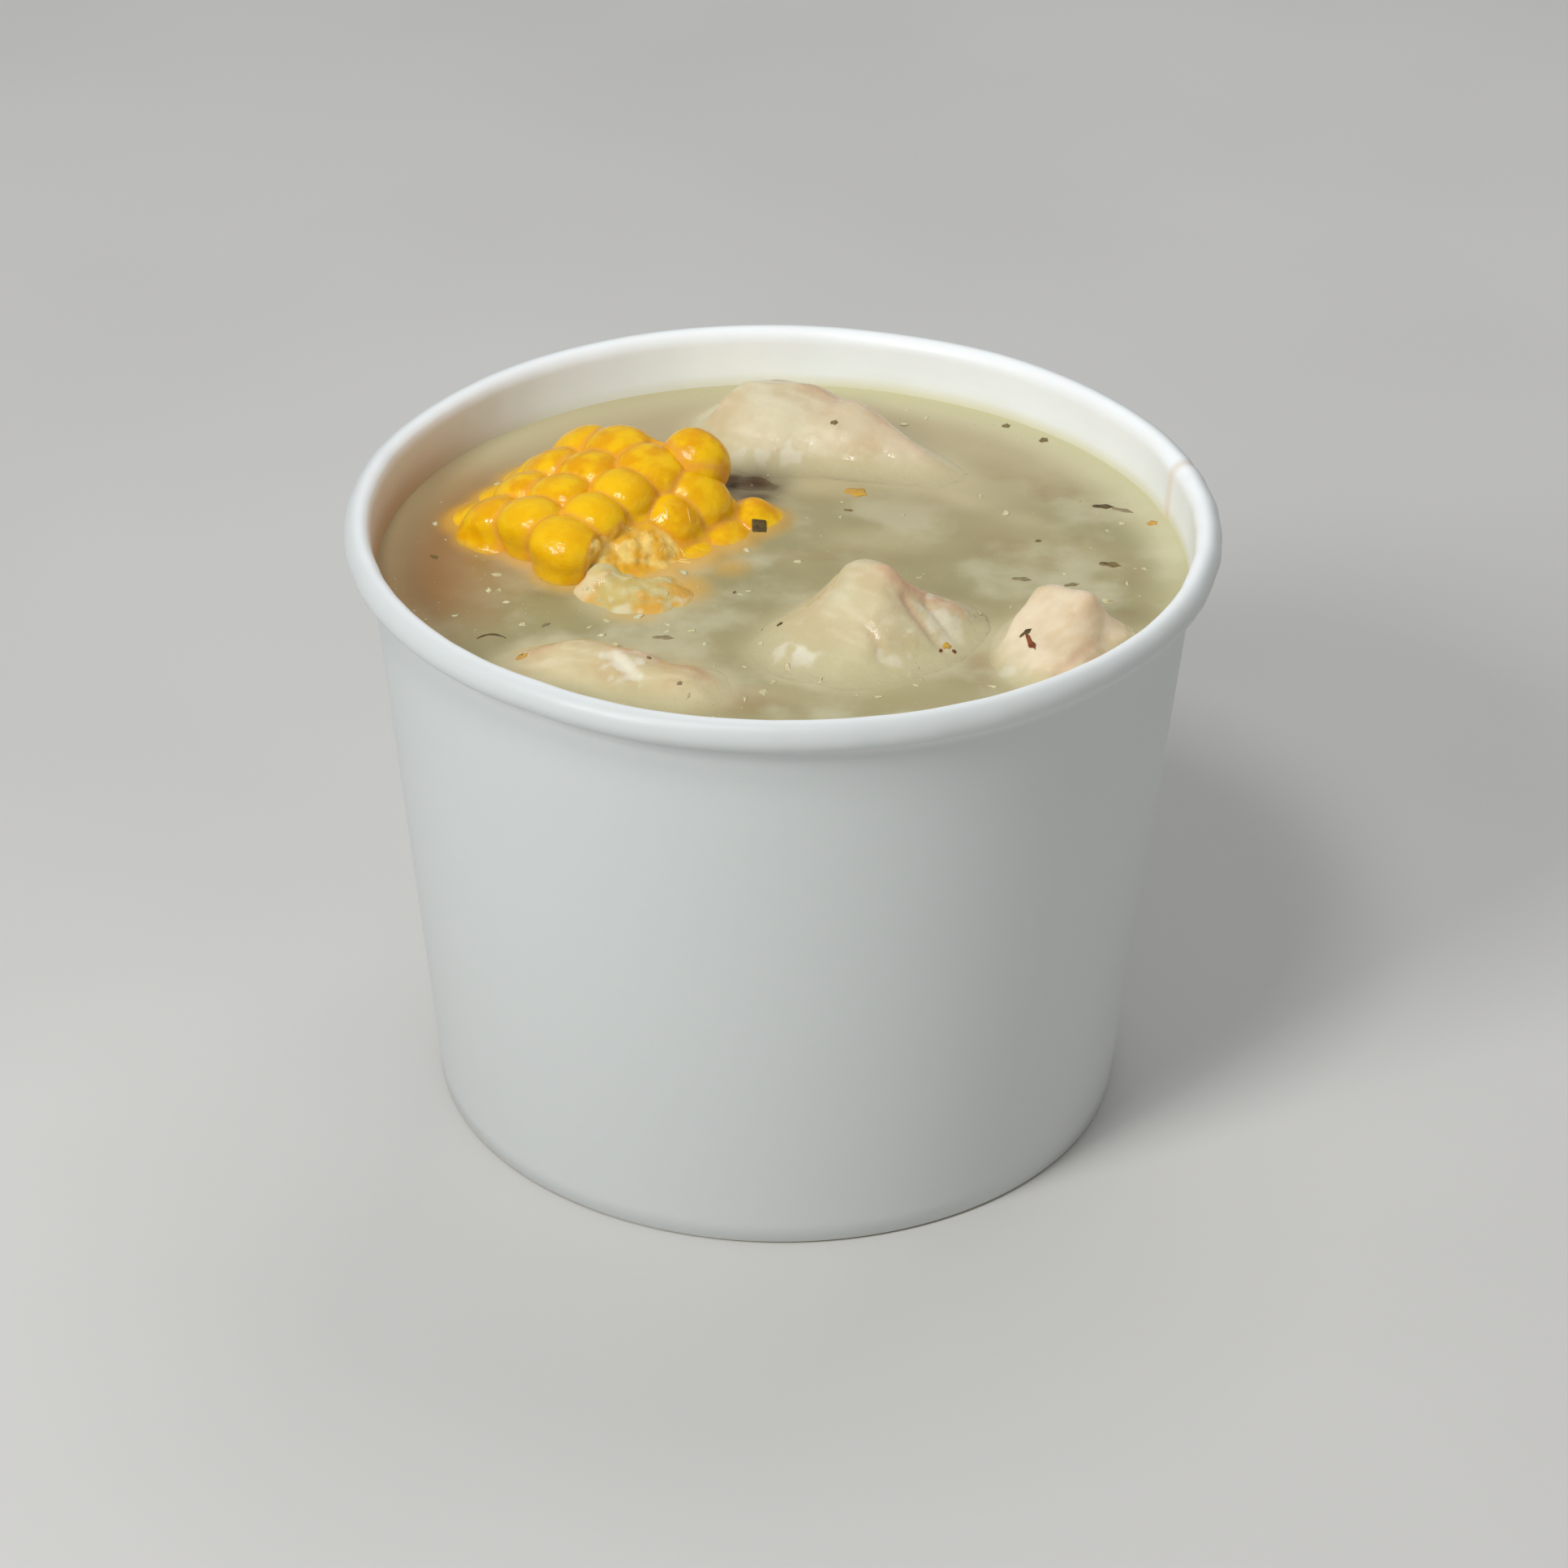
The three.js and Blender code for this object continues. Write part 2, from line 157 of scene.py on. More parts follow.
def through_modifiers(bm, *settings):
    """The bmesh after some modifiers, each given as (type, {setting: value})."""
    mesh = bpy.data.meshes.new("work")
    bm.to_mesh(mesh)
    bm.free()
    work = bpy.data.objects.new("work", mesh)
    scene.collection.objects.link(work)
    for kind, values in settings:
        modifier = work.modifiers.new(kind.lower(), kind)
        for key, value in values.items():
            setattr(modifier, key, value)
    depsgraph = bpy.context.evaluated_depsgraph_get()
    shaped = bpy.data.meshes.new_from_object(work.evaluated_get(depsgraph))
    result = bmesh.new()
    result.from_mesh(shaped)
    bpy.data.objects.remove(work)
    bpy.data.meshes.remove(mesh)
    bpy.data.meshes.remove(shaped)
    return result


def one_skin(bm, grain, smoothing):
    """Melts everything in the bmesh into one skin of even small faces."""
    remesh = ("REMESH", {"mode": "VOXEL", "voxel_size": grain})
    smooth = ("SMOOTH", {"factor": 0.5, "iterations": smoothing})
    return through_modifiers(bm, remesh, smooth)


def copy_of(node):
    """A node of the construction model as a bmesh, with its loose triangles merged."""
    bm = bmesh.new()
    bm.from_mesh(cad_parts[node].data)
    bmesh.ops.remove_doubles(bm, verts=bm.verts, dist=TOUCHING)
    return bm


def spun(profile, steps):
    """A bmesh of a closed or axis-to-axis profile of (radius, height), turned round Z."""
    bm = bmesh.new()
    verts = [bm.verts.new((radius, 0, height)) for radius, height in profile]
    pairs = list(zip(verts, verts[1:]))
    if profile[0][0] > 0:
        pairs.append((verts[-1], verts[0]))
    edges = [bm.edges.new(pair) for pair in pairs]
    bmesh.ops.spin(
        bm,
        geom=verts + edges,
        cent=(0, 0, 0),
        axis=(0, 0, 1),
        angle=math.tau,
        steps=steps,
        use_merge=True,
    )
    bmesh.ops.remove_doubles(bm, verts=bm.verts, dist=TOUCHING)
    bmesh.ops.recalc_face_normals(bm, faces=bm.faces)
    return bm


def paint(bm, name, colours):
    """Stores one colour, or four numbers, for each point of the mesh."""
    layer = bm.verts.layers.float_color.new(name)
    for vert, colour in zip(bm.verts, colours):
        vert[layer] = colour


def points_of(bm):
    """The places of all points, in metres, one row each."""
    return np.array([vert.co[:] for vert in bm.verts])


def push_out(bm, distances):
    """Moves each point along its normal by its own distance."""
    bm.normal_update()
    for vert, distance in zip(bm.verts, distances):
        vert.co += vert.normal * distance


def smoothstep(low, high, value):
    """A soft step from 0 to 1 as the value goes from low to high. It takes arrays as well."""
    share = np.clip((value - low) / (high - low), 0, 1)
    return share * share * (3 - 2 * share)


# %% [markdown]
# ## Helpers for materials
#
# Colours are written as they read on a screen, from 0 to 255, and turned into the linear values
# that shaders use. Small functions add a node and link it, so that a material reads as a recipe.


# %% Helpers for materials
MIX_SOCKETS = {"RGBA": (0, 6, 7, 2), "VECTOR": (0, 4, 5, 1)}  # share, first, second, and the result


def srgb(red, green, blue):
    """The linear colour of a colour on a screen, by the standard curve."""
    values = [channel / 255 for channel in (red, green, blue)]
    return (*[v / 12.92 if v <= 0.04045 else ((v + 0.055) / 1.055) ** 2.4 for v in values], 1.0)


def feed(tree, socket, value):
    """Links an output to the socket, or sets the socket's own value."""
    if isinstance(value, bpy.types.NodeSocket):
        tree.links.new(value, socket)
    else:
        socket.default_value = value


def maths(tree, operation, *values):
    """The result of a Math node, from numbers or other nodes' outputs."""
    node = tree.nodes.new("ShaderNodeMath")
    node.operation = operation
    for socket, value in zip(node.inputs, values):
        feed(tree, socket, value)
    return node.outputs["Value"]


def product(tree, first, *others):
    """Everything that is given, multiplied together."""
    for factor in others:
        first = maths(tree, "MULTIPLY", first, factor)
    return first


def blended(tree, share, first, second, kind="RGBA"):
    """The first colour or vector where share is 0, the second where it is 1."""
    node = tree.nodes.new("ShaderNodeMix")
    node.data_type = kind
    *inputs, result = MIX_SOCKETS[kind]
    for number, value in zip(inputs, (share, first, second)):
        feed(tree, node.inputs[number], value)
    return node.outputs[result]


def ramped(tree, value, low, high, start=0.0, end=1.0):
    """A soft step from start to end as the value goes from low to high."""
    node = tree.nodes.new("ShaderNodeMapRange")
    node.interpolation_type = "SMOOTHSTEP"
    settings = {"Value": value, "From Min": low, "From Max": high, "To Min": start, "To Max": end}
    for label, number in settings.items():
        feed(tree, node.inputs[label], number)
    return node.outputs["Result"]


def place_in(tree):
    """X, Y and Z of the point that is shaded, on the object's own coordinates."""
    place = tree.nodes.new("ShaderNodeTexCoord")
    split = tree.nodes.new("ShaderNodeSeparateXYZ")
    tree.links.new(place.outputs["Object"], split.inputs["Vector"])
    return [split.outputs[label] for label in ("X", "Y", "Z")]


def noise_at(tree, scale, detail=3.0):
    """Noise from 0 to 1 on the object's own coordinates, where scale counts lumps in a metre."""
    place = tree.nodes.new("ShaderNodeTexCoord")
    node = tree.nodes.new("ShaderNodeTexNoise")
    node.inputs["Detail"].default_value = detail
    feed(tree, node.inputs["Scale"], scale)
    tree.links.new(place.outputs["Object"], node.inputs["Vector"])
    return node.outputs["Fac"]


def painted(tree, name):
    """The four numbers that paint() stored: red, green, blue and alpha."""
    node = tree.nodes.new("ShaderNodeAttribute")
    node.attribute_name = name
    split = tree.nodes.new("ShaderNodeSeparateColor")
    tree.links.new(node.outputs["Color"], split.inputs["Color"])
    return (*[split.outputs[label] for label in ("Red", "Green", "Blue")], node.outputs["Alpha"])


def new_group(name, inputs, outputs):
    """An empty shader node group with named sockets, its tree, and its two end nodes."""
    group = bpy.data.node_groups.new(name, "ShaderNodeTree")
    for label, kind, value in inputs:
        socket = group.interface.new_socket(name=label, in_out="INPUT", socket_type=kind)
        socket.default_value = value
    for label, kind in outputs:
        group.interface.new_socket(name=label, in_out="OUTPUT", socket_type=kind)
    return group, group.nodes.new("NodeGroupInput"), group.nodes.new("NodeGroupOutput")


def use_group(tree, group, **values):
    """Places a group in a material, with its inputs set or linked by name."""
    node = tree.nodes.new("ShaderNodeGroup")
    node.node_tree = group
    for label, value in values.items():
        feed(tree, node.inputs[label], value)
    return node.outputs


def new_material(name, **settings):
    """A material with a Principled shader whose plain values are set, its tree and its shader."""
    material = bpy.data.materials.new(name)
    material.use_nodes = True
    shader = material.node_tree.nodes["Principled BSDF"]
    for label, value in settings.items():
        shader.inputs[label.replace("_", " ")].default_value = value
    print("material:", name)
    return material, material.node_tree, shader


def add_relief(tree, shader, height, depth, normal=None):
    """Relief of a depth in metres, on the surface's own normal or on the one given."""
    bump = tree.nodes.new("ShaderNodeBump")
    bump.inputs["Distance"].default_value = depth
    if normal:
        tree.links.new(normal, bump.inputs["Normal"])
    tree.links.new(height, bump.inputs["Height"])
    tree.links.new(bump.outputs["Normal"], shader.inputs["Normal"])


# %% [markdown]
# ## Four effects that several materials share
#
# *Mottle* mixes two colours in soft patches. *Wet skin* is the fine relief of boiled food: low
# lumps with a finer grain on them. *Cloudy broth* is the soup's colour at any place of the plan:
# olive in the middle with swirls of milk and brownish clouds, lighter at the back and round the
# edge, a painted brown shade at the left, and tinted by the food that lies under it. *Waterline*
# lets
# a piece of food fade into that broth: what stands in cloudy soup loses its colour a little above
# the level and is gone just under it. Its normal turns upwards there as well, so that the food's
# shading runs over into the broth's with no hard edge.

# %% Mottle group
COLOUR = "NodeSocketColor"
NUMBER = "NodeSocketFloat"

mottle, start, end = new_group(
    "mottle",
    [("First", COLOUR, (1, 1, 1, 1)), ("Second", COLOUR, (0, 0, 0, 1)), ("Scale", NUMBER, 100.0)],
    [("Colour", COLOUR)],
)
patches = ramped(mottle, noise_at(mottle, start.outputs["Scale"]), 0.36, 0.64)
mixed = blended(mottle, patches, start.outputs["First"], start.outputs["Second"])
mottle.links.new(mixed, end.inputs["Colour"])


def mottled(tree, first, second, scale):
    """Two colours in soft patches, where scale counts the patches in a metre."""
    return use_group(tree, mottle, First=first, Second=second, Scale=scale)["Colour"]


# %% Wet skin group
wet_skin, start, end = new_group(
    "wet_skin",
    [("Lumps", NUMBER, 300.0), ("Grain", NUMBER, 1500.0), ("Grain Share", NUMBER, 0.3)],
    [("Height", NUMBER)],
)
lumps = noise_at(wet_skin, start.outputs["Lumps"], detail=2.0)
grain = noise_at(wet_skin, start.outputs["Grain"], detail=2.0)
grain = product(wet_skin, grain, start.outputs["Grain Share"])
wet_skin.links.new(maths(wet_skin, "ADD", lumps, grain), end.inputs["Height"])


def skin_height(tree, lumps, grain, share):
    """The relief's height, with lumps and grain counted in a metre and the grain's share of it."""
    values = {"Lumps": lumps, "Grain": grain, "Grain Share": share}
    return use_group(tree, wet_skin, **values)["Height"]


# %% Cloudy broth group
BROTH_LEVEL = 65 * MM
BROTH_EDGE = 45.5 * MM
EDGE_BAND = 7 * MM
FRONT_PART = -22 * MM
BACK_PART = 34 * MM
DRIFT = 24 * MM  # how far its parts wander to the front and back
FOOD_GLOW = 0.7  # how strongly sunk food tints it

cloudy_broth, start, end = new_group(
    "cloudy_broth",
    [
        ("Middle", COLOUR, srgb(170, 159, 118)),
        ("Milk", COLOUR, srgb(198, 192, 160)),
        ("Back", COLOUR, srgb(178, 163, 127)),
        # painted shade: the broth's brown at the left, where the wall shades it
        ("Left", COLOUR, srgb(152, 112, 66)),
        ("Edge", COLOUR, srgb(212, 208, 168)),
        ("Over Corn", COLOUR, srgb(220, 166, 54)),
        ("Over Meat", COLOUR, srgb(204, 192, 152)),
        ("Over Dark", COLOUR, srgb(74, 50, 30)),
        ("Clouds", COLOUR, srgb(158, 133, 92)),
    ],
    [("Colour", COLOUR)],
)
tree = cloudy_broth
x, y, _ = place_in(tree)
from_axis = maths(tree, "SQRT", maths(tree, "MULTIPLY_ADD", y, y, product(tree, x, x)))
drift = maths(tree, "SUBTRACT", noise_at(tree, 45.0), 0.5)
far = maths(tree, "MULTIPLY_ADD", drift, DRIFT, y)
at_back = ramped(tree, far, 4 * MM, BACK_PART)
# painted shade: a brown share at the left of the broth, fading towards the back and the front
painted_left_shade = product(
    tree,
    ramped(tree, x, -25 * MM, -40 * MM, 0.0, 0.95),
    ramped(tree, far, BACK_PART, 20 * MM),
    ramped(tree, far, FRONT_PART, -4 * MM),
)
at_edge = product(
    tree,
    ramped(tree, from_axis, BROTH_EDGE - EDGE_BAND, BROTH_EDGE, 0.0, 0.8),
    ramped(tree, far, FRONT_PART, 14 * MM, 0.15, 1.0),
    ramped(tree, x, -24 * MM, 8 * MM, 0.5, 1.0),
)
milk = ramped(tree, noise_at(tree, 110.0, detail=7.0), 0.43, 0.68, 0.0, 0.72)
over_corn, over_meat, over_dark, clouded = painted(tree, "under")
clouds = product(tree, clouded, ramped(tree, noise_at(tree, 130.0), 0.42, 0.66))

# %% Lay the broth's tones over each other
tone = mottled(tree, start.outputs["Middle"], srgb(157, 150, 110), 60.0)
for share, label in (
    (milk, "Milk"),
    (at_back, "Back"),
    (painted_left_shade, "Left"),
    (clouds, "Clouds"),
    (at_edge, "Edge"),
    (product(tree, over_meat, FOOD_GLOW), "Over Meat"),
    (product(tree, over_corn, FOOD_GLOW), "Over Corn"),
    (over_dark, "Over Dark"),
):
    tone = blended(tree, share, tone, start.outputs[label])
tree.links.new(tone, end.inputs["Colour"])
print("cloudy broth:", len(tree.nodes), "nodes")

# %% Waterline group
waterline, start, end = new_group(
    "waterline",
    [
        ("Food", COLOUR, (1, 1, 1, 1)),
        ("Broth", COLOUR, (0.5, 0.5, 0.5, 1)),
        ("Low", NUMBER, BROTH_LEVEL),
        ("High", NUMBER, BROTH_LEVEL + 2 * MM),
        ("Uneven", NUMBER, 1.0 * MM),
    ],
    [("Colour", COLOUR), ("Clear", NUMBER), ("Normal", "NodeSocketVector")],
)
tree = waterline
wobble = maths(tree, "SUBTRACT", noise_at(tree, 240.0), 0.5)
wobble = product(tree, wobble, start.outputs["Uneven"])
height = maths(tree, "ADD", place_in(tree)[2], wobble)
clear = ramped(tree, height, start.outputs["Low"], start.outputs["High"])
faded = blended(tree, clear, start.outputs["Broth"], start.outputs["Food"])
own_normal = tree.nodes.new("ShaderNodeNewGeometry").outputs["Normal"]
turned = blended(tree, clear, (0, 0, 1), own_normal, "VECTOR")
unit = tree.nodes.new("ShaderNodeVectorMath")
unit.operation = "NORMALIZE"
tree.links.new(turned, unit.inputs[0])
results = {"Colour": faded, "Clear": clear, "Normal": unit.outputs["Vector"]}
for label, value in results.items():
    tree.links.new(value, end.inputs[label])
print("shared effects:", ", ".join(group.name for group in bpy.data.node_groups))

# %% Dress a material of food with them
BROTH_ROUGHNESS = 0.3
WET_PATCHES = 240.0  # in a metre
GRAIN_SHARE = 0.35
SOFT_LIGHT = (1.0, 0.66, 0.4)  # how far red, green and blue light spread in boiled meat and broth


def spread_light(shader, share, distance, colours=SOFT_LIGHT):
    """Light that enters the food and comes out again close by."""
    shader.inputs["Subsurface Weight"].default_value = share
    shader.inputs["Subsurface Scale"].default_value = distance
    shader.inputs["Subsurface Radius"].default_value = colours


def dress_food(tree, shader, tone, low, high, roughness, skin, depth):
    """Colour, gloss and relief of a food, all of which turn into the broth's at the level.

    low and high are where the broth hides it and where it is quite clear. roughness is that of its
    dry and its wet patches. skin holds the relief's lumps and grain, counted in a metre, and depth
    is how deep they are.
    """
    broth_here = use_group(tree, cloudy_broth)["Colour"]
    faded = use_group(tree, waterline, Food=tone, Broth=broth_here, Low=low, High=high)
    tree.links.new(faded["Colour"], shader.inputs["Base Color"])
    dry, wet = roughness
    own = ramped(tree, noise_at(tree, WET_PATCHES), 0.46, 0.58, dry, wet)
    change = maths(tree, "SUBTRACT", own, BROTH_ROUGHNESS)
    gloss = maths(tree, "MULTIPLY_ADD", faded["Clear"], change, BROTH_ROUGHNESS)
    tree.links.new(gloss, shader.inputs["Roughness"])
    height = skin_height(tree, *skin, GRAIN_SHARE)
    add_relief(tree, shader, height, depth, faded["Normal"])


# %% [markdown]
# ## The floor
#
# It only has to be pale and quiet, with a hint of unevenness so that its light isn't dead flat.

# %% Floor
FLOOR_HALF = 3.0

floor_material, tree, shader = new_material("floor", Roughness=0.75)
floor_tone = mottled(tree, srgb(208, 207, 204), srgb(203, 202, 199), 6.0)
tree.links.new(floor_tone, shader.inputs["Base Color"])

bm = bmesh.new()
bmesh.ops.create_grid(bm, x_segments=1, y_segments=1, size=FLOOR_HALF)
floor_mesh = bpy.data.meshes.new("floor")
bm.to_mesh(floor_mesh)
bm.free()
floor_mesh.materials.append(floor_material)
floor = bpy.data.objects.new("floor", floor_mesh)
scene.collection.objects.link(floor)

# %% [markdown]
# ## Paper
#
# The cup is coated white board. It is nearly even, so the little it has matters: soft fibres in
# the relief, a satin gloss, and a film of soup on the inside just above the level. Painted on it
# are a warm shade with the broth's warm reflection on the inside of the left wall, a faint warm
# glow low on the outside, and a darker grey on the outside that is painted shade. Where the stains
# and the painted shade lie is painted on the mesh's points.

# %% Paper material
paper, tree, shader = new_material(
    "paper", Roughness=0.42, IOR=1.48, Subsurface_Weight=0.08, Subsurface_Scale=1.2 * MM
)
film, warm_shade_and_glow, seam_line, outside = painted(tree, "stain_and_shade")
tone = mottled(tree, srgb(245, 249, 250), srgb(242, 246, 247), 60.0)
# The outside's darker grey is painted shade.
tone = blended(tree, outside, tone, srgb(208, 213, 212))
# Painted warm shade with the broth's warm reflection on the inside of the left wall, and a faint
# painted warm glow low on the outside.
tone = blended(tree, warm_shade_and_glow, tone, srgb(188, 146, 100))
tone = blended(tree, film, tone, srgb(214, 209, 166))
tone = blended(tree, seam_line, tone, srgb(206, 176, 138))
tree.links.new(tone, shader.inputs["Base Color"])
add_relief(tree, shader, skin_height(tree, 120.0, 2600.0, 0.12), 0.04 * MM)

# %% [markdown]
# ## The cup's wall
#
# A paper cup is a rolled-up fan of board: a straight taper, a lip curled outwards, a hem folded in
# at the foot, and one seam where the edges overlap. Everything but the seam is round, so one
# profile is spun round the axis. The profile's sizes come from the construction model's boxes. The
# seam and the small waves of a real lip are then pushed into the spun mesh.

# %% Wall profile
wall_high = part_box("cup_wall")[1]
RIM_RADIUS = wall_high.x
CUP_HEIGHT = wall_high.z
ROLL_WIDTH = 3.0 * MM
ROLL_HEIGHT = 3.6 * MM
ROLL_SWEEP = (-135, 180)  # where the lip's curl starts and ends, in degrees
UNDER_ROLL = CUP_HEIGHT - ROLL_HEIGHT
FOOT_RADIUS = 39.8 * MM
NECK_RADIUS = 46.33 * MM
PAPER = 0.45 * MM
HEM_HEIGHT = 6.8 * MM
HEM_POCKET = 1.0 * MM
FOLD_ROUND = 0.4 * MM
TUCK = 0.4 * MM


def wall_outside(height):
    """Radius of the wall's outside at a height."""
    return FOOT_RADIUS + (NECK_RADIUS - FOOT_RADIUS) * height / UNDER_ROLL


def wall_inside(height):
    """Radius of the wall's inside at a height."""
    return wall_outside(height) - PAPER


def wall_profile():
    """(radius, height) up the outside, round the lip, down the inside and round the hem."""
    roll_radius, roll_height = RIM_RADIUS - ROLL_WIDTH / 2, CUP_HEIGHT - ROLL_HEIGHT / 2
    roll = [
        (
            roll_radius + ROLL_WIDTH / 2 * math.cos(math.radians(turn)),
            roll_height + ROLL_HEIGHT / 2 * math.sin(math.radians(turn)),
        )
        for turn in np.linspace(*ROLL_SWEEP, 28)
    ]
    pocket_floor = FOLD_ROUND + PAPER / 2
    rising = np.linspace(FOLD_ROUND, UNDER_ROLL + TUCK, 30)
    falling = np.linspace(UNDER_ROLL + TUCK, pocket_floor, 60)
    return [
        (wall_outside(0) - FOLD_ROUND, 0),
        *[(wall_outside(height), height) for height in rising],
        *roll,
        *[(wall_inside(height), height) for height in falling],
        (wall_inside(pocket_floor) - HEM_POCKET, pocket_floor),
        (wall_inside(HEM_HEIGHT) - HEM_POCKET, HEM_HEIGHT),
        (wall_inside(HEM_HEIGHT) - HEM_POCKET - PAPER, HEM_HEIGHT),
        (wall_inside(FOLD_ROUND) - HEM_POCKET - PAPER, FOLD_ROUND),
        (wall_inside(0) - HEM_POCKET - PAPER + FOLD_ROUND, 0),
    ]


profile = wall_profile()
print("rim", round(2 * RIM_RADIUS / MM, 1), "mm across,", len(profile), "points in the profile")

# %% Spin the wall, then add its seam and its waves
WALL_STEPS = 360
SEAM_EDGES = (11.5, 18.5)  # the outer layer's two edges, degrees from +X
LAYER = 0.3 * MM
INNER_EDGE = 15.5  # the inner layer's edge
INNER_LAYER = 0.22 * MM
INNER_FADE = 9  # degrees from that edge to where the layer is flush again
EDGE_REACH = 0.75  # rings of points this near to an edge, in degrees, are moved close to it
EDGE_HALF = 0.12  # how close
LIP_BAND = 3 * MM  # how far below the lip its waves start


def closed_up(angle):
    """Moves the rings of points on both sides of a seam's edge close to it, so that it is crisp."""
    for edge in (*SEAM_EDGES, INNER_EDGE):
        if abs(angle - edge) < EDGE_REACH:
            return edge + math.copysign(EDGE_HALF, angle - edge)
    return angle


def lip_wave(angle, rate, phase):
    """A wave that goes round the lip a number of times."""
    return math.sin(math.radians(angle) * rate + phase)


def at_edge_line(angle, half_width):
    """1 on the inner layer's edge, fading to 0 on both sides of it."""
    return math.exp(-(((angle - INNER_EDGE) / half_width) ** 2))


wall = spun(profile, WALL_STEPS)
for vert in wall.verts:
    radius = math.hypot(vert.co.x, vert.co.y)
    angle = closed_up(math.degrees(math.atan2(vert.co.y, vert.co.x)))
    height = vert.co.z
    on_lip = smoothstep(UNDER_ROLL - LIP_BAND, UNDER_ROLL, height)
    outside = radius > wall_outside(height) - PAPER / 2
    inside = not outside and radius > wall_inside(height) - HEM_POCKET / 2
    if SEAM_EDGES[0] < angle < SEAM_EDGES[1] and outside and height > FOLD_ROUND / 2:
        radius += LAYER * (1 - 0.75 * on_lip)
    if inside and INNER_EDGE < angle < INNER_EDGE + INNER_FADE:
        radius -= INNER_LAYER * (1 - smoothstep(INNER_EDGE, INNER_EDGE + INNER_FADE, angle))
    around = Vector((math.cos(math.radians(angle)), math.sin(math.radians(angle)), 0))
    ripple = 0.07 * noise.noise(around * 16) + 0.14 * noise.noise(around * 5)
    sag = 0.10 * lip_wave(angle, 3, 0.4) + 0.06 * lip_wave(angle, 7, 2.0)
    radius += on_lip * (ripple - 0.1 * at_edge_line(angle, 0.5)) * MM
    height -= on_lip * (0.12 + abs(sag)) * MM
    vert.co = around * radius + Vector((0, 0, height))
print("wall:", len(wall.faces), "faces")

# %% Paint the stains and the painted shade, and finish the wall
# Painted warm shade on the inside of the left wall, and a faint painted warm glow at the outside's
# foot.
WARM_SHADE_INSIDE = 0.28  # what the shaded side has all the way up
WARM_SHADE_LOW = 0.68  # and what it gains towards the broth
WARM_GLOW_FOOT = 0.04


def soup_film_and_shade(point, angle):
    """Film of soup, and painted warm shade with the broth's warm reflection, on the wall's inside.
    """
    film_top = BROTH_LEVEL + 0.5 * MM * (1 + noise.noise(point * 120)) + 1.6 * MM
    film = 1 - smoothstep(BROTH_LEVEL - 0.4 * MM, film_top, point.z)
    film *= 0.35 + 0.55 * smoothstep(-24 * MM, 8 * MM, point.x)
    # painted shade on the inside of the left wall, warmer towards the broth
    shade = smoothstep(0.45, 1.0, -math.cos(math.radians(angle - 8)))
    low = 1 - smoothstep(BROTH_LEVEL, CUP_HEIGHT - ROLL_HEIGHT / 2, point.z)
    return film, shade * (WARM_SHADE_INSIDE + WARM_SHADE_LOW * low)


def wall_stain_and_shade(point):
    """Film of soup, painted warm shade and glow, seam line, and share of the outside's darker tone,
    a painted shade, at a point of the wall.
    """
    radius, angle = math.hypot(point.x, point.y), math.degrees(math.atan2(point.y, point.x))
    on_seam = 0.4 * at_edge_line(angle, 0.4)
    if radius < wall_outside(point.z) - PAPER / 2:
        return (*soup_film_and_shade(point, angle), on_seam, 0.0)
    # a faint painted warm glow low on the outside
    warm_shade_and_glow = WARM_GLOW_FOOT * (1 - smoothstep(5 * MM, 48 * MM, point.z))
    if point.z < UNDER_ROLL:
        return (0.0, warm_shade_and_glow, 0.0, 1.0)
    # the outside's darker tone, a painted shade, reaches over the lip's outer half
    outside = smoothstep(RIM_RADIUS - 2.2 * MM, RIM_RADIUS - 0.6 * MM, radius)
    return (0.0, warm_shade_and_glow, on_seam, outside)


paint(wall, "stain_and_shade", [wall_stain_and_shade(vert.co) for vert in wall.verts])
finished("cup_board", wall, [paper], stands_for=["cup_wall"])

# %% [markdown]
# ## The cup's base
#
# A disc of the same board is pressed in from below, with its edge turned down into the hem. It
# shows only from underneath, and it is spun from its own short profile.

# %% Base disc
base_low, base_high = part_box("cup_base")
GAP = 0.3 * MM
FLANGE = HEM_POCKET - 2 * GAP
DISHED = 0.25 * MM
DISH_RADIUS = 36 * MM


def base_edge(height):
    """Radius of the base's rim at a height: as far out as the wall lets it go."""
    return wall_inside(height) - GAP


def base_profile():
    """(radius, height) out along the underside, round the flange and back along the top."""
    top, under, foot = base_high.z, base_high.z - PAPER, base_low.z
    bend = top - 0.4 * MM
    across = np.linspace(0.01 * MM, base_edge(under) - FLANGE - 1 * MM, 12)
    return [
        (0, under),
        *[(radius, under) for radius in across[1:]],
        (base_edge(under) - FLANGE, under - 0.3 * MM),
        (base_edge(foot) - FLANGE, foot),
        (base_edge(foot), foot),
        (base_edge(bend), bend),
        (base_edge(top) - 0.5 * MM, top),
        (0, top),
    ]


base = spun(base_profile(), 120)
for vert in base.verts:
    if vert.co.z < base_high.z - PAPER / 2:
        radius = math.hypot(vert.co.x, vert.co.y)
        vert.co.z -= DISHED * (1 - smoothstep(0, DISH_RADIUS, radius))
# The base gets half of the outside's painted darker shade and a little painted warm glow.
paint(base, "stain_and_shade", [(0, 0.1, 0, 0.5)] * len(base.verts))
finished("cup_disc", base, [paper], stands_for=["cup_base"])

# %% [markdown]
# ## Chicken
#
# Boiled chicken is pale cream with a faint pink, smooth where there is skin and finely stringy
# where the meat has torn. The construction model holds each piece's form, so a copy of its mesh is
# melted into an even skin and then gets folds and strings pushed along its normals.

# %% Chicken material
MEAT_HIDDEN = 64.4 * MM  # below this the broth hides the meat


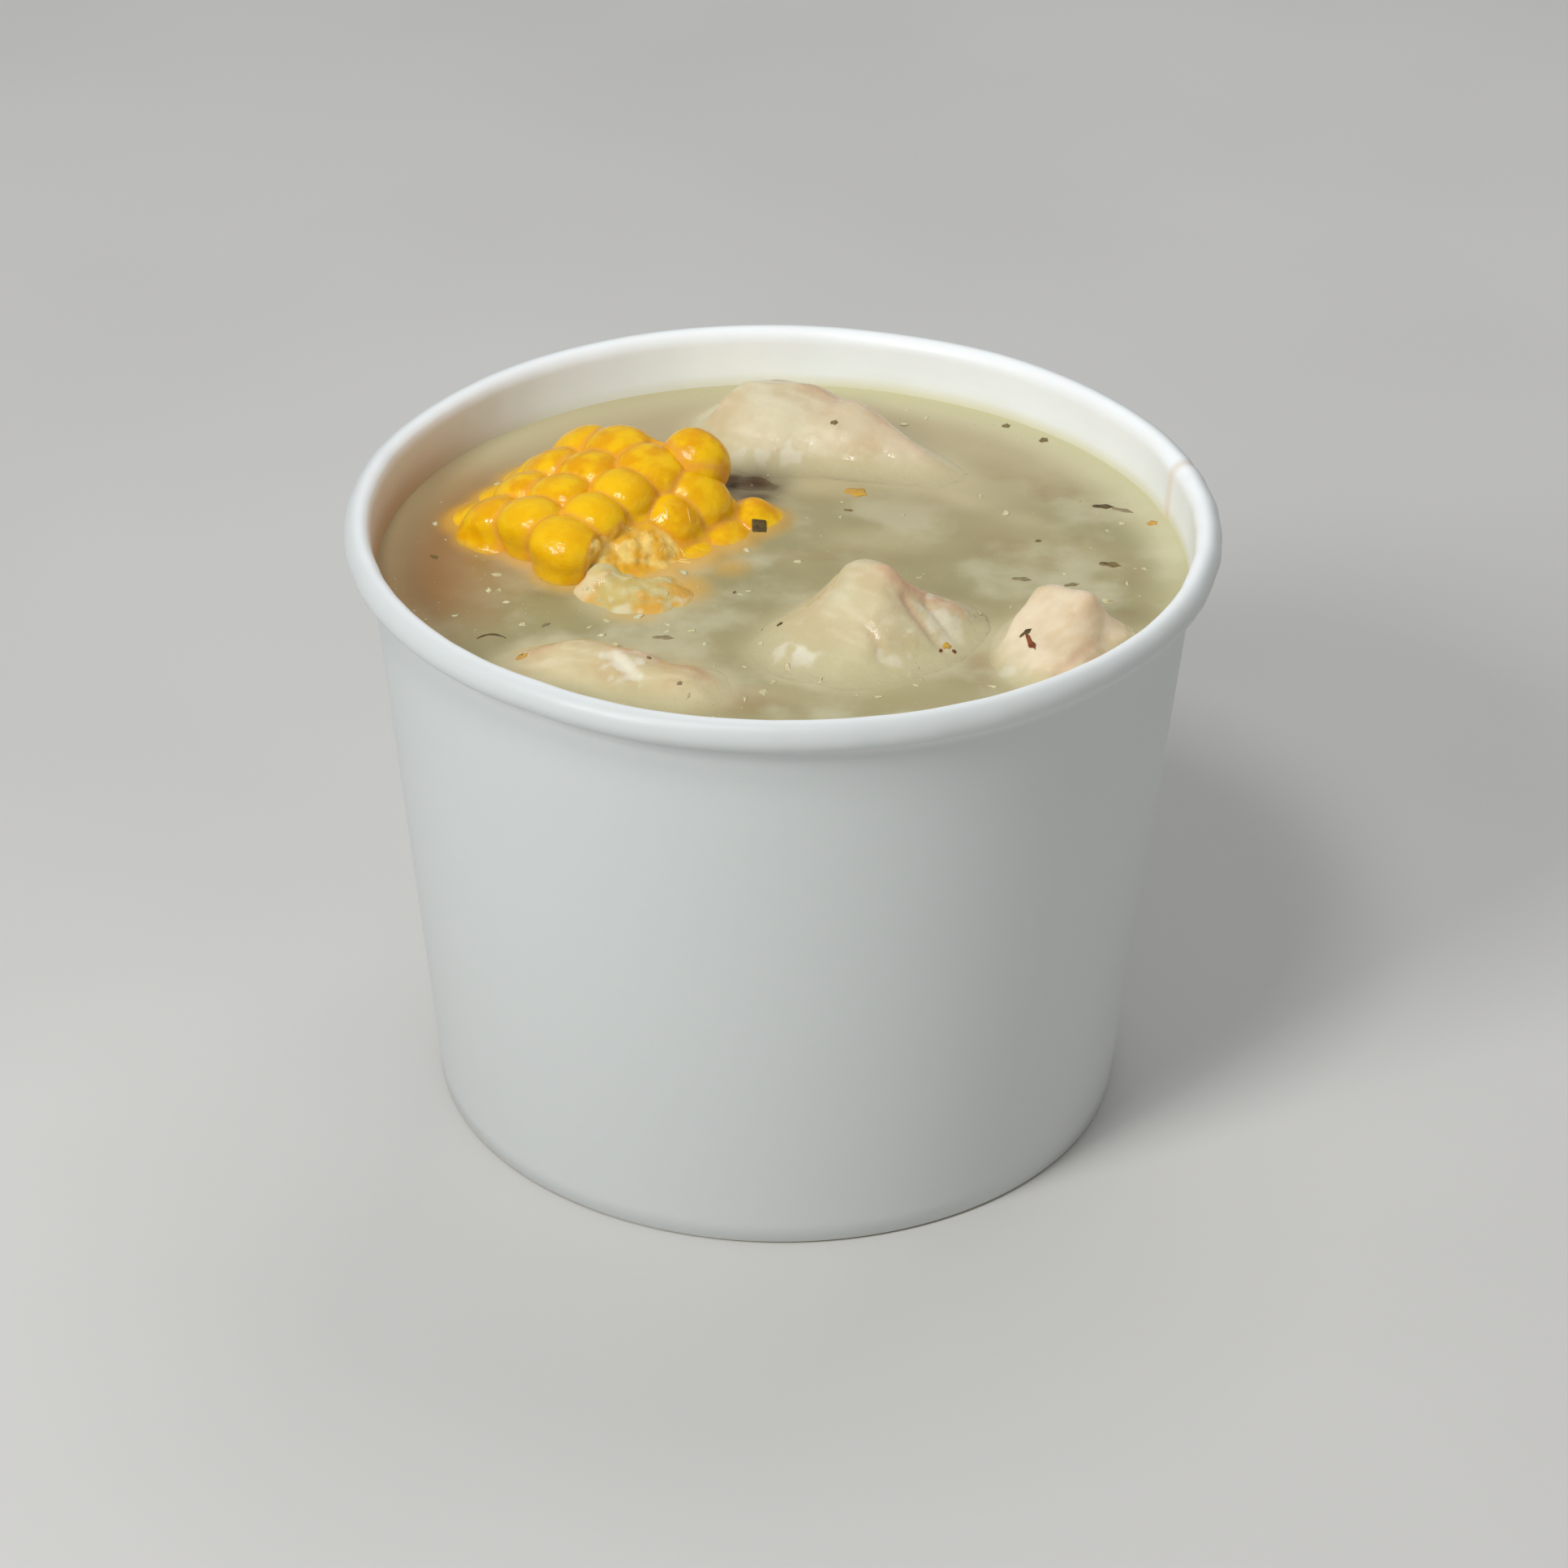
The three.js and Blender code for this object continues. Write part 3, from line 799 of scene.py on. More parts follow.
def chicken_material(name, cream, warm, high):
    """high: up from where the meat has its full colour."""
    material, tree, shader = new_material(name, IOR=1.36)
    spread_light(shader, 0.12, 1.0 * MM)
    pink, fat_and_gleam, wet, fibres = painted(tree, "meat")
    tone = mottled(tree, cream, warm, 150.0)
    tone = blended(tree, product(tree, fibres, 0.28), tone, srgb(234, 222, 194))
    tone = blended(tree, pink, tone, srgb(206, 156, 126))
    tone = blended(tree, wet, tone, srgb(194, 187, 146))
    # White spots: bits of fat, and partly painted gleams of the wet meat.
    tone = blended(tree, fat_and_gleam, tone, srgb(232, 228, 208))
    dress_food(
        tree,
        shader,
        tone,
        low=MEAT_HIDDEN,
        high=high,
        roughness=(0.42, 0.14),
        skin=(420.0, 1900.0),
        depth=0.12 * MM,
    )
    return material


# %% Shape the pieces of chicken
MEAT_GRAIN = 0.4 * MM
FOLD_RATES = (160, 420)  # large and small folds in a metre
STRING_RATE = 900  # strings of torn meat in a metre
FIBRE_RATE = 1300  # and the finer ones that only its colour shows
FLARE_DEPTH = 3 * MM
INTO_WALL = 0.1 * MM  # how far food and broth may reach into the paper


def strings(point, heading, rate):
    """Ridges that run along a heading, as muscle fibres do."""
    local = Matrix.Rotation(-math.radians(heading), 3, "Z") @ point
    return noise.noise(Vector((local.x * rate / 5, local.y * rate, local.z * rate)))


def to_line(points, line):
    """Each point's distance to a line of straight stretches, in the points' own unit."""
    nearest = np.full(len(points), VERY_FAR)
    for first, last in zip(np.array(line[:-1]), np.array(line[1:])):
        stretch = last - first
        share = np.clip((points - first) @ stretch / (stretch @ stretch), 0, 1)
        away = points - first - share[:, None] * stretch
        nearest = np.minimum(nearest, np.linalg.norm(away, axis=1))
    return nearest


def flared(bm, height, width):
    """Spreads a piece where it enters the broth, so that it slopes into it.

    height is how far above the level this starts, and width how far the piece spreads at the level.
    """
    bm.normal_update()
    for vert in bm.verts:
        above = (vert.co.z - BROTH_LEVEL) / height
        sunk = float(smoothstep(0, FLARE_DEPTH, BROTH_LEVEL - vert.co.z))
        outward = Vector((vert.normal.x, vert.normal.y, 0))
        vert.co += outward * width * (1 - min(max(above, 0), 1)) ** 2 * (1 - sunk)
        radius, most = math.hypot(vert.co.x, vert.co.y), wall_inside(vert.co.z) + INTO_WALL
        if radius > most:
            vert.co.x *= most / radius
            vert.co.y *= most / radius


def shaped_meat(node, heading, fold, stringy, crests):
    """heading: which way the fibres run. fold and stringy: how deep both are, in metres.

    A crest is a ridge or, below zero, a crease: (line of points in mm, reach in mm, rise in mm).
    """
    bm = one_skin(copy_of(node), MEAT_GRAIN, smoothing=6)
    points = points_of(bm) / MM
    rises = np.zeros(len(points))
    for line, reach, rise in crests:
        rises += rise * np.maximum(1 - to_line(points, line) / reach, 0) ** 1.4
    pushes = []
    for vert, rise in zip(bm.verts, rises):
        large, small = (noise.noise(vert.co * rate) for rate in FOLD_RATES)
        string = strings(vert.co, heading, STRING_RATE)
        pushes.append(fold * (large + 0.4 * small) + stringy * string + rise * MM)
    push_out(bm, pushes)
    flared(bm, height=2.2 * MM, width=1.5 * MM)
    return bm


def paint_meat(bm, heading, pink_lines, fat_and_gleam_spots, wet_height):
    """Where the meat is pink, where white fat and painted gleams show, how far up it is wet and
    greenish, and its fibres.

    A pink line is (points in mm, reach in mm, strength) and a spot is (place, radius, strength).
    """
    points = points_of(bm) / MM
    ragged = np.array([noise.noise(Vector(point) * 0.9) for point in points])
    pink, fat_and_gleam = np.zeros(len(points)), np.zeros(len(points))
    for line, reach, strength in pink_lines:
        away = to_line(points, line) * (1 + 0.5 * ragged)
        pink = np.maximum(pink, strength * (1 - smoothstep(0, reach, away)))
    # white spots of fat, partly painted gleams
    for place, radius, strength in fat_and_gleam_spots:
        away = np.linalg.norm(points - np.array(place), axis=1) * (1 + 0.9 * ragged)
        fat_and_gleam = np.maximum(fat_and_gleam, strength * (1 - smoothstep(0.55 * radius, radius, away)))
    above = points[:, 2] - BROTH_LEVEL / MM + 0.8 * ragged
    wet = 0.85 * (1 - smoothstep(0, wet_height, above))
    fibres = np.array([strings(vert.co, heading, FIBRE_RATE) for vert in bm.verts])
    paint(bm, "meat", np.column_stack([pink, fat_and_gleam, wet, smoothstep(0.0, 0.5, fibres)]).tolist())
    print("meat:", len(bm.faces), "faces")


# %% The piece at the back
BACK_FIBRES = -30
BACK_CREST = [(-5.9, 32.8, 69.4), (-4.4, 33.8, 70.2), (3.1, 33.4, 70.9), (6.5, 31, 70.6)]
BACK_CREST += [(18.8, 21.6, 66)]
BACK_CORNER = [(-10, 31, 66.5), (-5.9, 32.4, 69.6), (-4.4, 33.8, 70.2)]

back = shaped_meat(
    "chicken_drumstick",
    BACK_FIBRES,
    fold=0.16 * MM,
    stringy=0.05 * MM,
    crests=[(BACK_CREST, 3.6, 0.7), (BACK_CORNER, 2.6, 0.5)],
)
paint_meat(
    back,
    BACK_FIBRES,
    pink_lines=[(BACK_CREST[2:], 2.4, 0.4), ([(6, 29, 70), (17, 21, 66)], 4.5, 0.16)],
    fat_and_gleam_spots=[
        ((-2.5, 23.7, 66.3), 1.5, 0.6),
        ((0.8, 23.5, 66.5), 1.3, 0.6),
        ((-5.5, 24.5, 65.8), 1.5, 0.45),
    ],
    wet_height=3.4,
)
back_meat = chicken_material("chicken_back", srgb(218, 208, 176), srgb(208, 190, 152), 67.6 * MM)

# %% The peaked piece
PEAK_FIBRES = -35
PEAK_CREST = [(7.2, -13.3, 71.9), (8.7, -14.3, 72.7), (11.3, -15.4, 72.6)]
PEAK_SHOULDER = [(11.3, -15.4, 72.6), (12.9, -16, 71.5), (15.6, -14.8, 69.6), (17.9, -15, 68.8)]
PEAK_SHOULDER += [(20.1, -14.9, 67.3)]
PEAK_FOLD = [(8.7, -20.8, 69.4), (9.6, -22.2, 68.7), (10.7, -24, 67.5), (11.5, -26, 66)]
PEAK_FURROWS = [
    [(13.2, -17.6, 70.6), (15.4, -19.5, 68.4), (17.4, -21, 66.6)],
    [(15.8, -16.3, 69.2), (18, -18.2, 67.4), (19.4, -19.4, 66)],
]

peak = shaped_meat(
    "chicken_peak",
    PEAK_FIBRES,
    fold=0.16 * MM,
    stringy=0.08 * MM,
    crests=[(PEAK_CREST, 2.6, 0.45), (PEAK_SHOULDER, 2.4, 0.5), (PEAK_FOLD, 1.1, -0.3)]
    + [(furrow, 1.0, -0.35) for furrow in PEAK_FURROWS],
)
paint_meat(
    peak,
    PEAK_FIBRES,
    pink_lines=[
        (PEAK_SHOULDER, 2.2, 0.75),
        (PEAK_FURROWS[0], 1.2, 0.6),
        (PEAK_FURROWS[1], 1.0, 0.5),
        (PEAK_FOLD[1:], 0.6, 0.4),
    ],
    fat_and_gleam_spots=[
        ((2.4, -24.1, 66.4), 1.5, 0.8),
        ((0.2, -22.5, 66.2), 1.1, 0.6),
        ((17.6, -17.6, 68), 2.2, 0.5),
        ((18.4, -19.0, 66.6), 2.0, 0.5),
        ((12.2, -24.6, 66.8), 1.5, 0.5),
    ],
    wet_height=4.8,
)
peak_meat = chicken_material("chicken_peak", srgb(210, 200, 162), srgb(204, 186, 146), 67.8 * MM)

# %% The piece at the right
SLAB_FIBRES = 35
SLAB_CREST = [(28.5, -15.2, 69.7), (29.8, -15.4, 70.6), (31.6, -16.2, 70.9), (33.2, -17.2, 70)]
SLAB_SIDES = [
    [(24.5, -20.5, 66), (26, -16.9, 67.7), (28.5, -15.2, 69.7)],
    [(33.2, -17.2, 70), (38.4, -15.6, 67.2)],
]
SLAB_SHOULDER = [(34.3, -16.6, 68.3), (38.0, -17.6, 66.8)]
SHOULDER_LIFT = 1.2 * MM
SHOULDER_REACH = 3.8
SLAB_CREASES = [
    [
        (29.4, -27.3, 66.3),
        (31.2, -25.6, 67.4),
        (33.6, -21.9, 67.4),
        (36, -17.9, 66.2),
        (38, -14.9, 65.1),
    ],
    [(33.0, -24.6, 66.6), (35.4, -21.0, 66.4), (37.6, -18.2, 65.4)],
]

slab = shaped_meat(
    "chicken_slab",
    SLAB_FIBRES,
    fold=0.14 * MM,
    stringy=0.05 * MM,
    crests=[(SLAB_CREST, 2.4, 0.4)]
    + [(line, 3.4, 1.3) for line in SLAB_SIDES]
    + [(line, 1.0, -0.2) for line in SLAB_CREASES],
)
for vert, away in zip(slab.verts, to_line(points_of(slab) / MM, SLAB_SHOULDER)):
    standing = smoothstep(BROTH_LEVEL, BROTH_LEVEL + 1 * MM, vert.co.z)
    vert.co.z += SHOULDER_LIFT * max(1 - away / SHOULDER_REACH, 0) * standing
paint_meat(
    slab,
    SLAB_FIBRES,
    pink_lines=[(line, 1.2, 0.35) for line in SLAB_CREASES]
    + [(SLAB_SIDES[1], 3.5, 0.2), (SLAB_CREST, 1.6, 0.15)],
    fat_and_gleam_spots=[((24.4, -24.8, 66), 1.2, 0.5)],
    wet_height=2.6,
)
right_meat = chicken_material("chicken_right", srgb(230, 214, 184), srgb(218, 196, 160), 66.4 * MM)

# %% The piece at the left
SLIVER_FIBRES = -14
SLIVER_CREST = [(-26, -23.6, 67.2), (-23, -24.1, 68), (-19.9, -23.5, 68.3), (-17.7, -24.9, 68)]
SLIVER_CREST += [(-14.2, -24.7, 67.2)]
SLIVER_EDGE = [(-17.7, -24.9, 68), (-14.2, -24.7, 67.2), (-9.8, -26.8, 67.2), (-6, -28.4, 66.1)]
SLIVER_TEAR = [(-18.8, -25.8, 67.9), (-17.6, -26.9, 67.5), (-15.4, -29.3, 66.5)]

sliver = shaped_meat(
    "chicken_sliver",
    SLIVER_FIBRES,
    fold=0.14 * MM,
    stringy=0.06 * MM,
    crests=[(SLIVER_CREST, 2.2, 0.35), (SLIVER_TEAR, 0.9, -0.35)],
)
paint_meat(
    sliver,
    SLIVER_FIBRES,
    pink_lines=[(SLIVER_EDGE, 1.8, 0.45), ([(-29, -24, 66), (-25, -23.6, 67)], 1.4, 0.3)],
    fat_and_gleam_spots=[
        ((-16.9, -27.2, 67.4), 1.9, 0.75),
        ((-15.9, -28.4, 66.8), 1.3, 0.6),
        ((-18.4, -26.2, 67.8), 1.1, 0.5),
    ],
    wet_height=1.8,
)
left_meat = chicken_material("chicken_left", srgb(210, 196, 156), srgb(198, 176, 132), 66.8 * MM)

# %% [markdown]
# ## Corn
#
# An ear has its kernels in rows. Cooked kernels are taut glossy domes, and the skin that joins
# them sits a little lower and is amber. Domes are set along the rows on a core, then melted into
# one skin, which rounds the creases between them. Where a point is as close to one kernel as to
# the next is painted on, and the material turns that into yellow kernels and amber creases.

# %% The ear's place and its rows
EAR_MIDDLE = Vector((-22.6, 6, 54.5)) * MM
EAR_HEADING = math.radians(54.8)
EAR_RISE = math.radians(9.9)
EAR_RADIUS = 18.3 * MM
EAR_TAPER = 0.03
ROW_TURN = math.tau / 16
TOP_ROW_TURN = math.radians(14.2)
KERNEL_PITCH = 5.48 * MM
KERNEL_HALF = Vector((3.75, 2.5, 3.35)) * MM  # round the ear, outwards, along it
ROOT_DEPTH = 4.6 * MM
HEIGHT_VARIES = 3 * MM
BED_RADIUS = 16.3 * MM
EAR_FRONT = -4.2 * MM
EAR_BACK = 15.2 * MM

SHOWN_ROWS = [  # turn, first kernel's place along, kernels, their size, and how much lower they sit
    (-3, -2.2, 3, 1.0, 0.0),
    (-2, -4.1, 4, 1.0, 0.0),
    (-1, -4.2, 4, 1.0, 0.0),
    (0, -6.0, 4, 1.0, 0.0),
    (1, 7.0, 1, 0.78, 0.3),
    (1, 12.0, 1, 0.95, 0.0),
    (2.13, -0.3, 4, 1.0, 0.1),
]
TORN_KERNELS = [(0.85, -0.6, 16.9), (1.15, 1.8, 17.0), (1.45, 0.2, 16.4), (0.7, -4.4, 16.6)]
TORN_HALF = Vector((2.7, 3.6, 2.6)) * MM
LOOSE_KERNEL = (0.42, 15.5, 19.4)
LOOSE_HALF = Vector((4.2, 4.2, 3.6)) * MM

along = Vector(
    (
        math.cos(EAR_RISE) * math.cos(EAR_HEADING),
        math.cos(EAR_RISE) * math.sin(EAR_HEADING),
        math.sin(EAR_RISE),
    )
)
side = along.cross(Vector((0, 0, 1))).normalized()
ear_turn = Matrix((side, side.cross(along), -along)).transposed().to_4x4()
ear_place = Matrix.Translation(EAR_MIDDLE) @ ear_turn


def uneven(a, b):
    """Differences between kernels, the same on every run."""
    return 0.07 * math.sin(12.9 * a + 4.1 * b + 1.3) + 0.05 * math.sin(7.3 * a - 9.7 * b)


def kernel_list():
    """(row's turn, distance along, crown's height, half sizes, torn) for every kernel."""
    kernels = []
    for row, first, count, scale, lower in SHOWN_ROWS:
        for place in range(count):
            size = scale * (1 + uneven(row, place))
            distance = first * MM + place * KERNEL_PITCH
            crown = EAR_RADIUS - EAR_TAPER * distance
            crown += HEIGHT_VARIES * uneven(place, row) - lower * MM
            half = Vector((KERNEL_HALF.x * size, KERNEL_HALF.y, KERNEL_HALF.z * size))
            kernels.append((TOP_ROW_TURN + row * ROW_TURN, distance, crown, half, 0))
    for row, distance, crown in TORN_KERNELS:
        kernels.append((TOP_ROW_TURN + row * ROW_TURN, distance * MM, crown * MM, TORN_HALF, 1))
    row, distance, crown = LOOSE_KERNEL
    kernels.append((TOP_ROW_TURN + row * ROW_TURN, distance * MM, crown * MM, LOOSE_HALF, 0))
    return kernels


kernels = kernel_list()
print(len(kernels), "kernels stand out of the broth")

# %% Set the domes on the core and melt them together


def add_dome(bm, turn, distance, crown, half):
    """A kernel: a rounded block with a low crown on the ear's outside and a deep root inside.

    Powers a little over 2 make a block of the ball.
    """
    dome = bmesh.ops.create_icosphere(bm, subdivisions=4, radius=1.0)["verts"]
    for vert in dome:
        x, y, z = vert.co
        block = (abs(x) ** 2.3 + abs(y) ** 2.1 + abs(z) ** 2.3) ** (1 / 2.25)
        depth = half.y if y > 0 else max(half.y, ROOT_DEPTH)
        vert.co = Vector((x * half.x, y * depth, z * half.z)) / block
    place = Matrix.Rotation(-turn, 4, "Z") @ Matrix.Translation((0, crown - half.y, -distance))
    bmesh.ops.transform(bm, matrix=ear_place @ place, verts=dome)


def ear_core(bm, radius):
    """The bed that the kernels have grown from, cut across at both ends."""
    depth = EAR_BACK - EAR_FRONT
    rod = bmesh.ops.create_cone(
        bm, cap_ends=True, segments=48, radius1=radius, radius2=radius, depth=depth
    )["verts"]
    middle = Matrix.Translation((0, 0, -(EAR_BACK + EAR_FRONT) / 2))
    bmesh.ops.transform(bm, matrix=ear_place @ middle, verts=rod)


corn = bmesh.new()
ear_core(corn, BED_RADIUS)
for turn, distance, crown, half, torn in kernels[:-1]:
    add_dome(corn, turn, distance, crown, half)
corn = one_skin(corn, grain=0.28 * MM, smoothing=5)
flared(corn, height=2.4 * MM, width=1.5 * MM)
add_dome(corn, *kernels[-1][:4])
print("corn skin:", len(corn.faces), "faces")

# %% Paint the creases between kernels, and which kernel each point belongs to
CREASE_WIDTH = 0.3


def paint_kernels(bm):
    """Paints how near a crease each point is, its kernel's tone, and whether that is torn."""
    local = ear_place.inverted()
    points = np.array([(local @ vert.co)[:] for vert in bm.verts])
    radius = np.hypot(points[:, 0], points[:, 1])
    turn = np.arctan2(points[:, 0], points[:, 1])
    nearest, second = np.full(len(points), VERY_FAR), np.full(len(points), VERY_FAR)
    tone, torn = np.zeros(len(points)), np.zeros(len(points))
    for number, (row_turn, distance, crown, half, is_torn) in enumerate(kernels):
        swing = (turn - row_turn + math.pi) % math.tau - math.pi
        across = swing * radius / half.x
        lengthwise = (-points[:, 2] - distance) / half.z
        away = np.hypot(across, lengthwise)
        closer = away < nearest
        second = np.where(closer, nearest, np.minimum(second, away))
        nearest = np.where(closer, away, nearest)
        tone = np.where(closer, 0.5 + 0.5 * math.sin(5.1 * number), tone)
        torn = np.where(closer, is_torn * (1 - smoothstep(0.8, 1.3, away)), torn)
    creased = 1 - smoothstep(0.0, CREASE_WIDTH, second - nearest)
    paint(bm, "kernel", np.column_stack([creased, tone, torn, np.ones(len(points))]).tolist())


paint_kernels(corn)

# %% Tear the torn ones
TEAR_DEPTH = 0.32 * MM
kernel_layer = corn.verts.layers.float_color["kernel"]
push_out(
    corn,
    [vert[kernel_layer][2] * noise.noise(vert.co * 950) * TEAR_DEPTH for vert in corn.verts],
)

# %% Kernel material
kernel_skin, tree, shader = new_material("kernel_skin", IOR=1.38)
spread_light(shader, 0.15, 0.8 * MM, (1.0, 0.45, 0.05))
creased, tone_share, torn, _ = painted(tree, "kernel")
ripe = blended(tree, tone_share, srgb(238, 182, 3), srgb(228, 161, 2))
ripe = mottled(tree, ripe, srgb(242, 192, 14), 420.0)
tone = blended(tree, product(tree, creased, 0.8), ripe, srgb(230, 162, 62))
flesh = mottled(tree, srgb(230, 172, 48), srgb(238, 206, 120), 520.0)
tone = blended(tree, torn, tone, flesh)
dress_food(
    tree,
    shader,
    tone,
    low=64.6 * MM,
    high=66.2 * MM,
    roughness=(0.2, 0.1),
    skin=(900.0, 2600.0),
    depth=0.11 * MM,
)

# %% [markdown]
# ## The torn patch of the cob
#
# Where the front kernels have come off, pale wet tissue shows, with ragged white bits. Its form is
# the construction model's core, broken up with sharper folds than the meat has.

# %% Material of the torn patch
cob_tissue, tree, shader = new_material("cob_tissue", IOR=1.38)
spread_light(shader, 0.15, 1.0 * MM)
ragged, kernel_side, _, _ = painted(tree, "tissue")
tone = mottled(tree, srgb(208, 194, 138), srgb(200, 176, 104), 300.0)
tone = blended(tree, kernel_side, tone, srgb(222, 158, 30))
tone = blended(tree, ragged, tone, srgb(226, 226, 196))
dress_food(
    tree,
    shader,
    tone,
    low=64.0 * MM,
    high=65.4 * MM,
    roughness=(0.3, 0.12),
    skin=(800.0, 2600.0),
    depth=0.14 * MM,
)

# %% Shape the torn patch
TISSUE_FOLD = 0.42 * MM

cob = one_skin(copy_of("corn_cob"), grain=0.3 * MM, smoothing=4)
push_out(
    cob,
    [
        TISSUE_FOLD * (noise.noise(vert.co * 260) + noise.noise(vert.co * 620))
        for vert in cob.verts
    ],
)
flared(cob, height=1.2 * MM, width=1.0 * MM)

# %% Paint its white bits, and what is left of its kernels
WHITE_TEARS = [(-21.8, -4.8), (-22.0, -7.4), (-17.6, -12.0)]
WHITE_REACH = 1.9
KERNEL_REMAINS = [(-22.6, -8.0), (-14.6, -11.9), (-11.0, -7.6), (-10.4, -3.4)]
REMAINS_REACH = 3.2


def near_spots(point, spots, reach):
    """How near a point of the plan is to the nearest of some spots in mm, ragged, from 0 to 1."""
    away = min(math.hypot(point.x / MM - x, point.y / MM - y) for x, y in spots)
    return float(1 - smoothstep(0.3, 1.0, away / reach * (1 + 0.8 * noise.noise(point * 900))))


tissue = []
for vert in cob.verts:
    bits = 0.4 * smoothstep(0.2, 0.6, noise.noise(vert.co * 800 + Vector((3, 1, 0))))
    white = max(float(bits), 0.6 * near_spots(vert.co, WHITE_TEARS, WHITE_REACH))
    remains = 0.7 * near_spots(vert.co, KERNEL_REMAINS, REMAINS_REACH)
    tissue.append((white, remains, 0, 1))
paint(cob, "tissue", tissue)
print("torn patch:", len(cob.faces), "faces")

# %% [markdown]
# ## The dark scrap
#
# A scrap of something dark, most of it sunk, lies between the corn and the meat behind it. Cloudy
# broth blurs it, so the part that stands out is pressed low, and it turns into a dark stain of the
# broth at the level.

# %% Dark scrap
SCRAP_ROUGH = 0.3 * MM
SCRAP_PRESS = 0.5  # how much of its height above the level is taken away

scrap_skin, tree, shader = new_material("scrap_skin", IOR=1.36)
tone = mottled(tree, srgb(76, 52, 30), srgb(104, 80, 50), 500.0)
dress_food(
    tree,
    shader,
    tone,
    low=64.6 * MM,
    high=66.0 * MM,
    roughness=(0.5, 0.4),
    skin=(900.0, 2600.0),
    depth=0.15 * MM,
)
scrap = one_skin(copy_of("dark_scrap"), grain=0.25 * MM, smoothing=3)
push_out(scrap, [noise.noise(vert.co * 600) * SCRAP_ROUGH for vert in scrap.verts])
for vert in scrap.verts:
    vert.co.z -= SCRAP_PRESS * max(vert.co.z - BROTH_LEVEL, 0)
print("scrap:", len(scrap.faces), "faces")

# %% [markdown]
# ## What the broth hides
#
# Food that lies just under the surface glows through cloudy broth: yellow over corn, cream over
# chicken, brown over the scrap. The plan is divided into small cells, rays are dropped on the food
# to find its depth in each, and the map is blurred as the broth blurs it. A few soft ovals stand
# for food that is wholly sunk. The same map is painted on the broth and on the food, so their
# colours are the same where they meet. It also says where the broth climbs the food.

# %% Map the depth of the food
ABOVE_ALL = 90 * MM
CELL = 0.5 * MM
cells = np.arange(-BROTH_EDGE - CELL, BROTH_EDGE + 2 * CELL, CELL)
across, away = np.meshgrid(cells, cells)

food_kinds = {"corn": [corn], "meat": [back, peak, slab, sliver, cob], "dark": [scrap]}
food_trees = {kind: [BVHTree.FromBMesh(bm) for bm in pieces] for kind, pieces in food_kinds.items()}


def depth_below(trees, x, y):
    """How far under the level the topmost food is, in metres, or a large number."""
    above = Vector((x, y, ABOVE_ALL))
    down = Vector((0, 0, -1))
    hits = [tree.ray_cast(above, down) for tree in trees]
    tops = [hit[0].z for hit in hits if hit[0]]
    return BROTH_LEVEL - max(tops) if tops else 1.0


def blurred(grid, reach):
    """Averages the grid over the cells within reach, twice along each axis."""
    row = np.ones(2 * reach + 1) / (2 * reach + 1)
    for axis in (0, 1, 0, 1):
        grid = np.apply_along_axis(np.convolve, axis, grid, row, mode="same")
    return grid


def glow_map(kind, fade, reach):
    """How strongly a kind of food glows at each cell: it fades with depth, and is blurred."""
    depths = np.array([[depth_below(food_trees[kind], x, y) for x in cells] for y in cells])
    return blurred(np.exp(-np.maximum(depths, 0) / fade), reach)


def ovals(spots):
    """Soft ovals of tint, each (x, y, half length, half width, heading, strength)."""
    total = np.zeros(across.shape)
    for middle_x, middle_y, half_length, half_width, heading, strength in spots:
        turn = math.radians(heading)
        dx, dy = across / MM - middle_x, away / MM - middle_y
        u = (dx * math.cos(turn) + dy * math.sin(turn)) / half_length
        v = (dy * math.cos(turn) - dx * math.sin(turn)) / half_width
        total = np.maximum(total, strength * (1 - smoothstep(0.0, 1.0, np.hypot(u, v))))
    return total


SUNK_MEAT = [
    (20, 17.5, 9, 4, -38, 0.9),
    (27, 12, 7, 3, -35, 0.5),
    (12, 6, 12, 5, -6, 0.5),
    (22, -16, 5, 5, 0, 0.6),
    (4, 20, 10, 4.5, -8, 0.8),
    (8, -26, 12, 5, -4, 0.7),
    (-2, -29, 8, 3, -12, 0.5),
    (4, -30, 9, 3, 0, 0.3),
    (-18, -31, 10, 4, -22, 0.9),
]
SUNK_CORN = [
    (-10.5, -5.5, 4, 5.5, 10, 0.95),
    (-6, -0.5, 4, 4, 0, 0.7),
    (-16.5, -12.5, 5, 2.2, -5, 0.6),
]
SUNK_DARK = [(-6.2, 20.0, 5.8, 4.8, -20, 1.0), (-3, 16.6, 4.6, 2.6, -35, 0.9)]
CLOUDS = [
    (28, 18, 14, 7, -30, 0.8),
    (30, 4, 14, 7, -10, 0.6),
    (8, 3, 12, 5, 0, 0.4),
    (-8, -30, 16, 5, -10, 1.0),
    (-38, -4, 6, 14, 20, 0.6),
    (38, -6, 5, 12, 0, 0.9),
    (22, -22, 4, 7, 0, 0.9),
    (2, 20, 14, 6, -10, 0.5),
]
DARKEST = 0.95

corn_map = glow_map("corn", 0.7 * MM, 1)
meat_map = glow_map("meat", 1.6 * MM, 2)
climb_map = np.maximum(0.8 * corn_map, 0.35 * meat_map) ** 2
corn_map = np.maximum(corn_map, ovals(SUNK_CORN))
meat_map = np.maximum(meat_map, ovals(SUNK_MEAT))
dark_map = np.minimum(1.5 * glow_map("dark", 1.6 * MM, 3), DARKEST)
dark_map = np.maximum(dark_map, ovals(SUNK_DARK))
torn_edge = [[noise.noise(Vector((x, 1.4 * y, 0)) * 420) for x in cells] for y in cells]
dark_map = np.clip(dark_map * (0.85 + 0.6 * np.array(torn_edge)), 0, DARKEST)
print("cells of the plan with food just under the level:", int((corn_map + meat_map > 0.5).sum()))


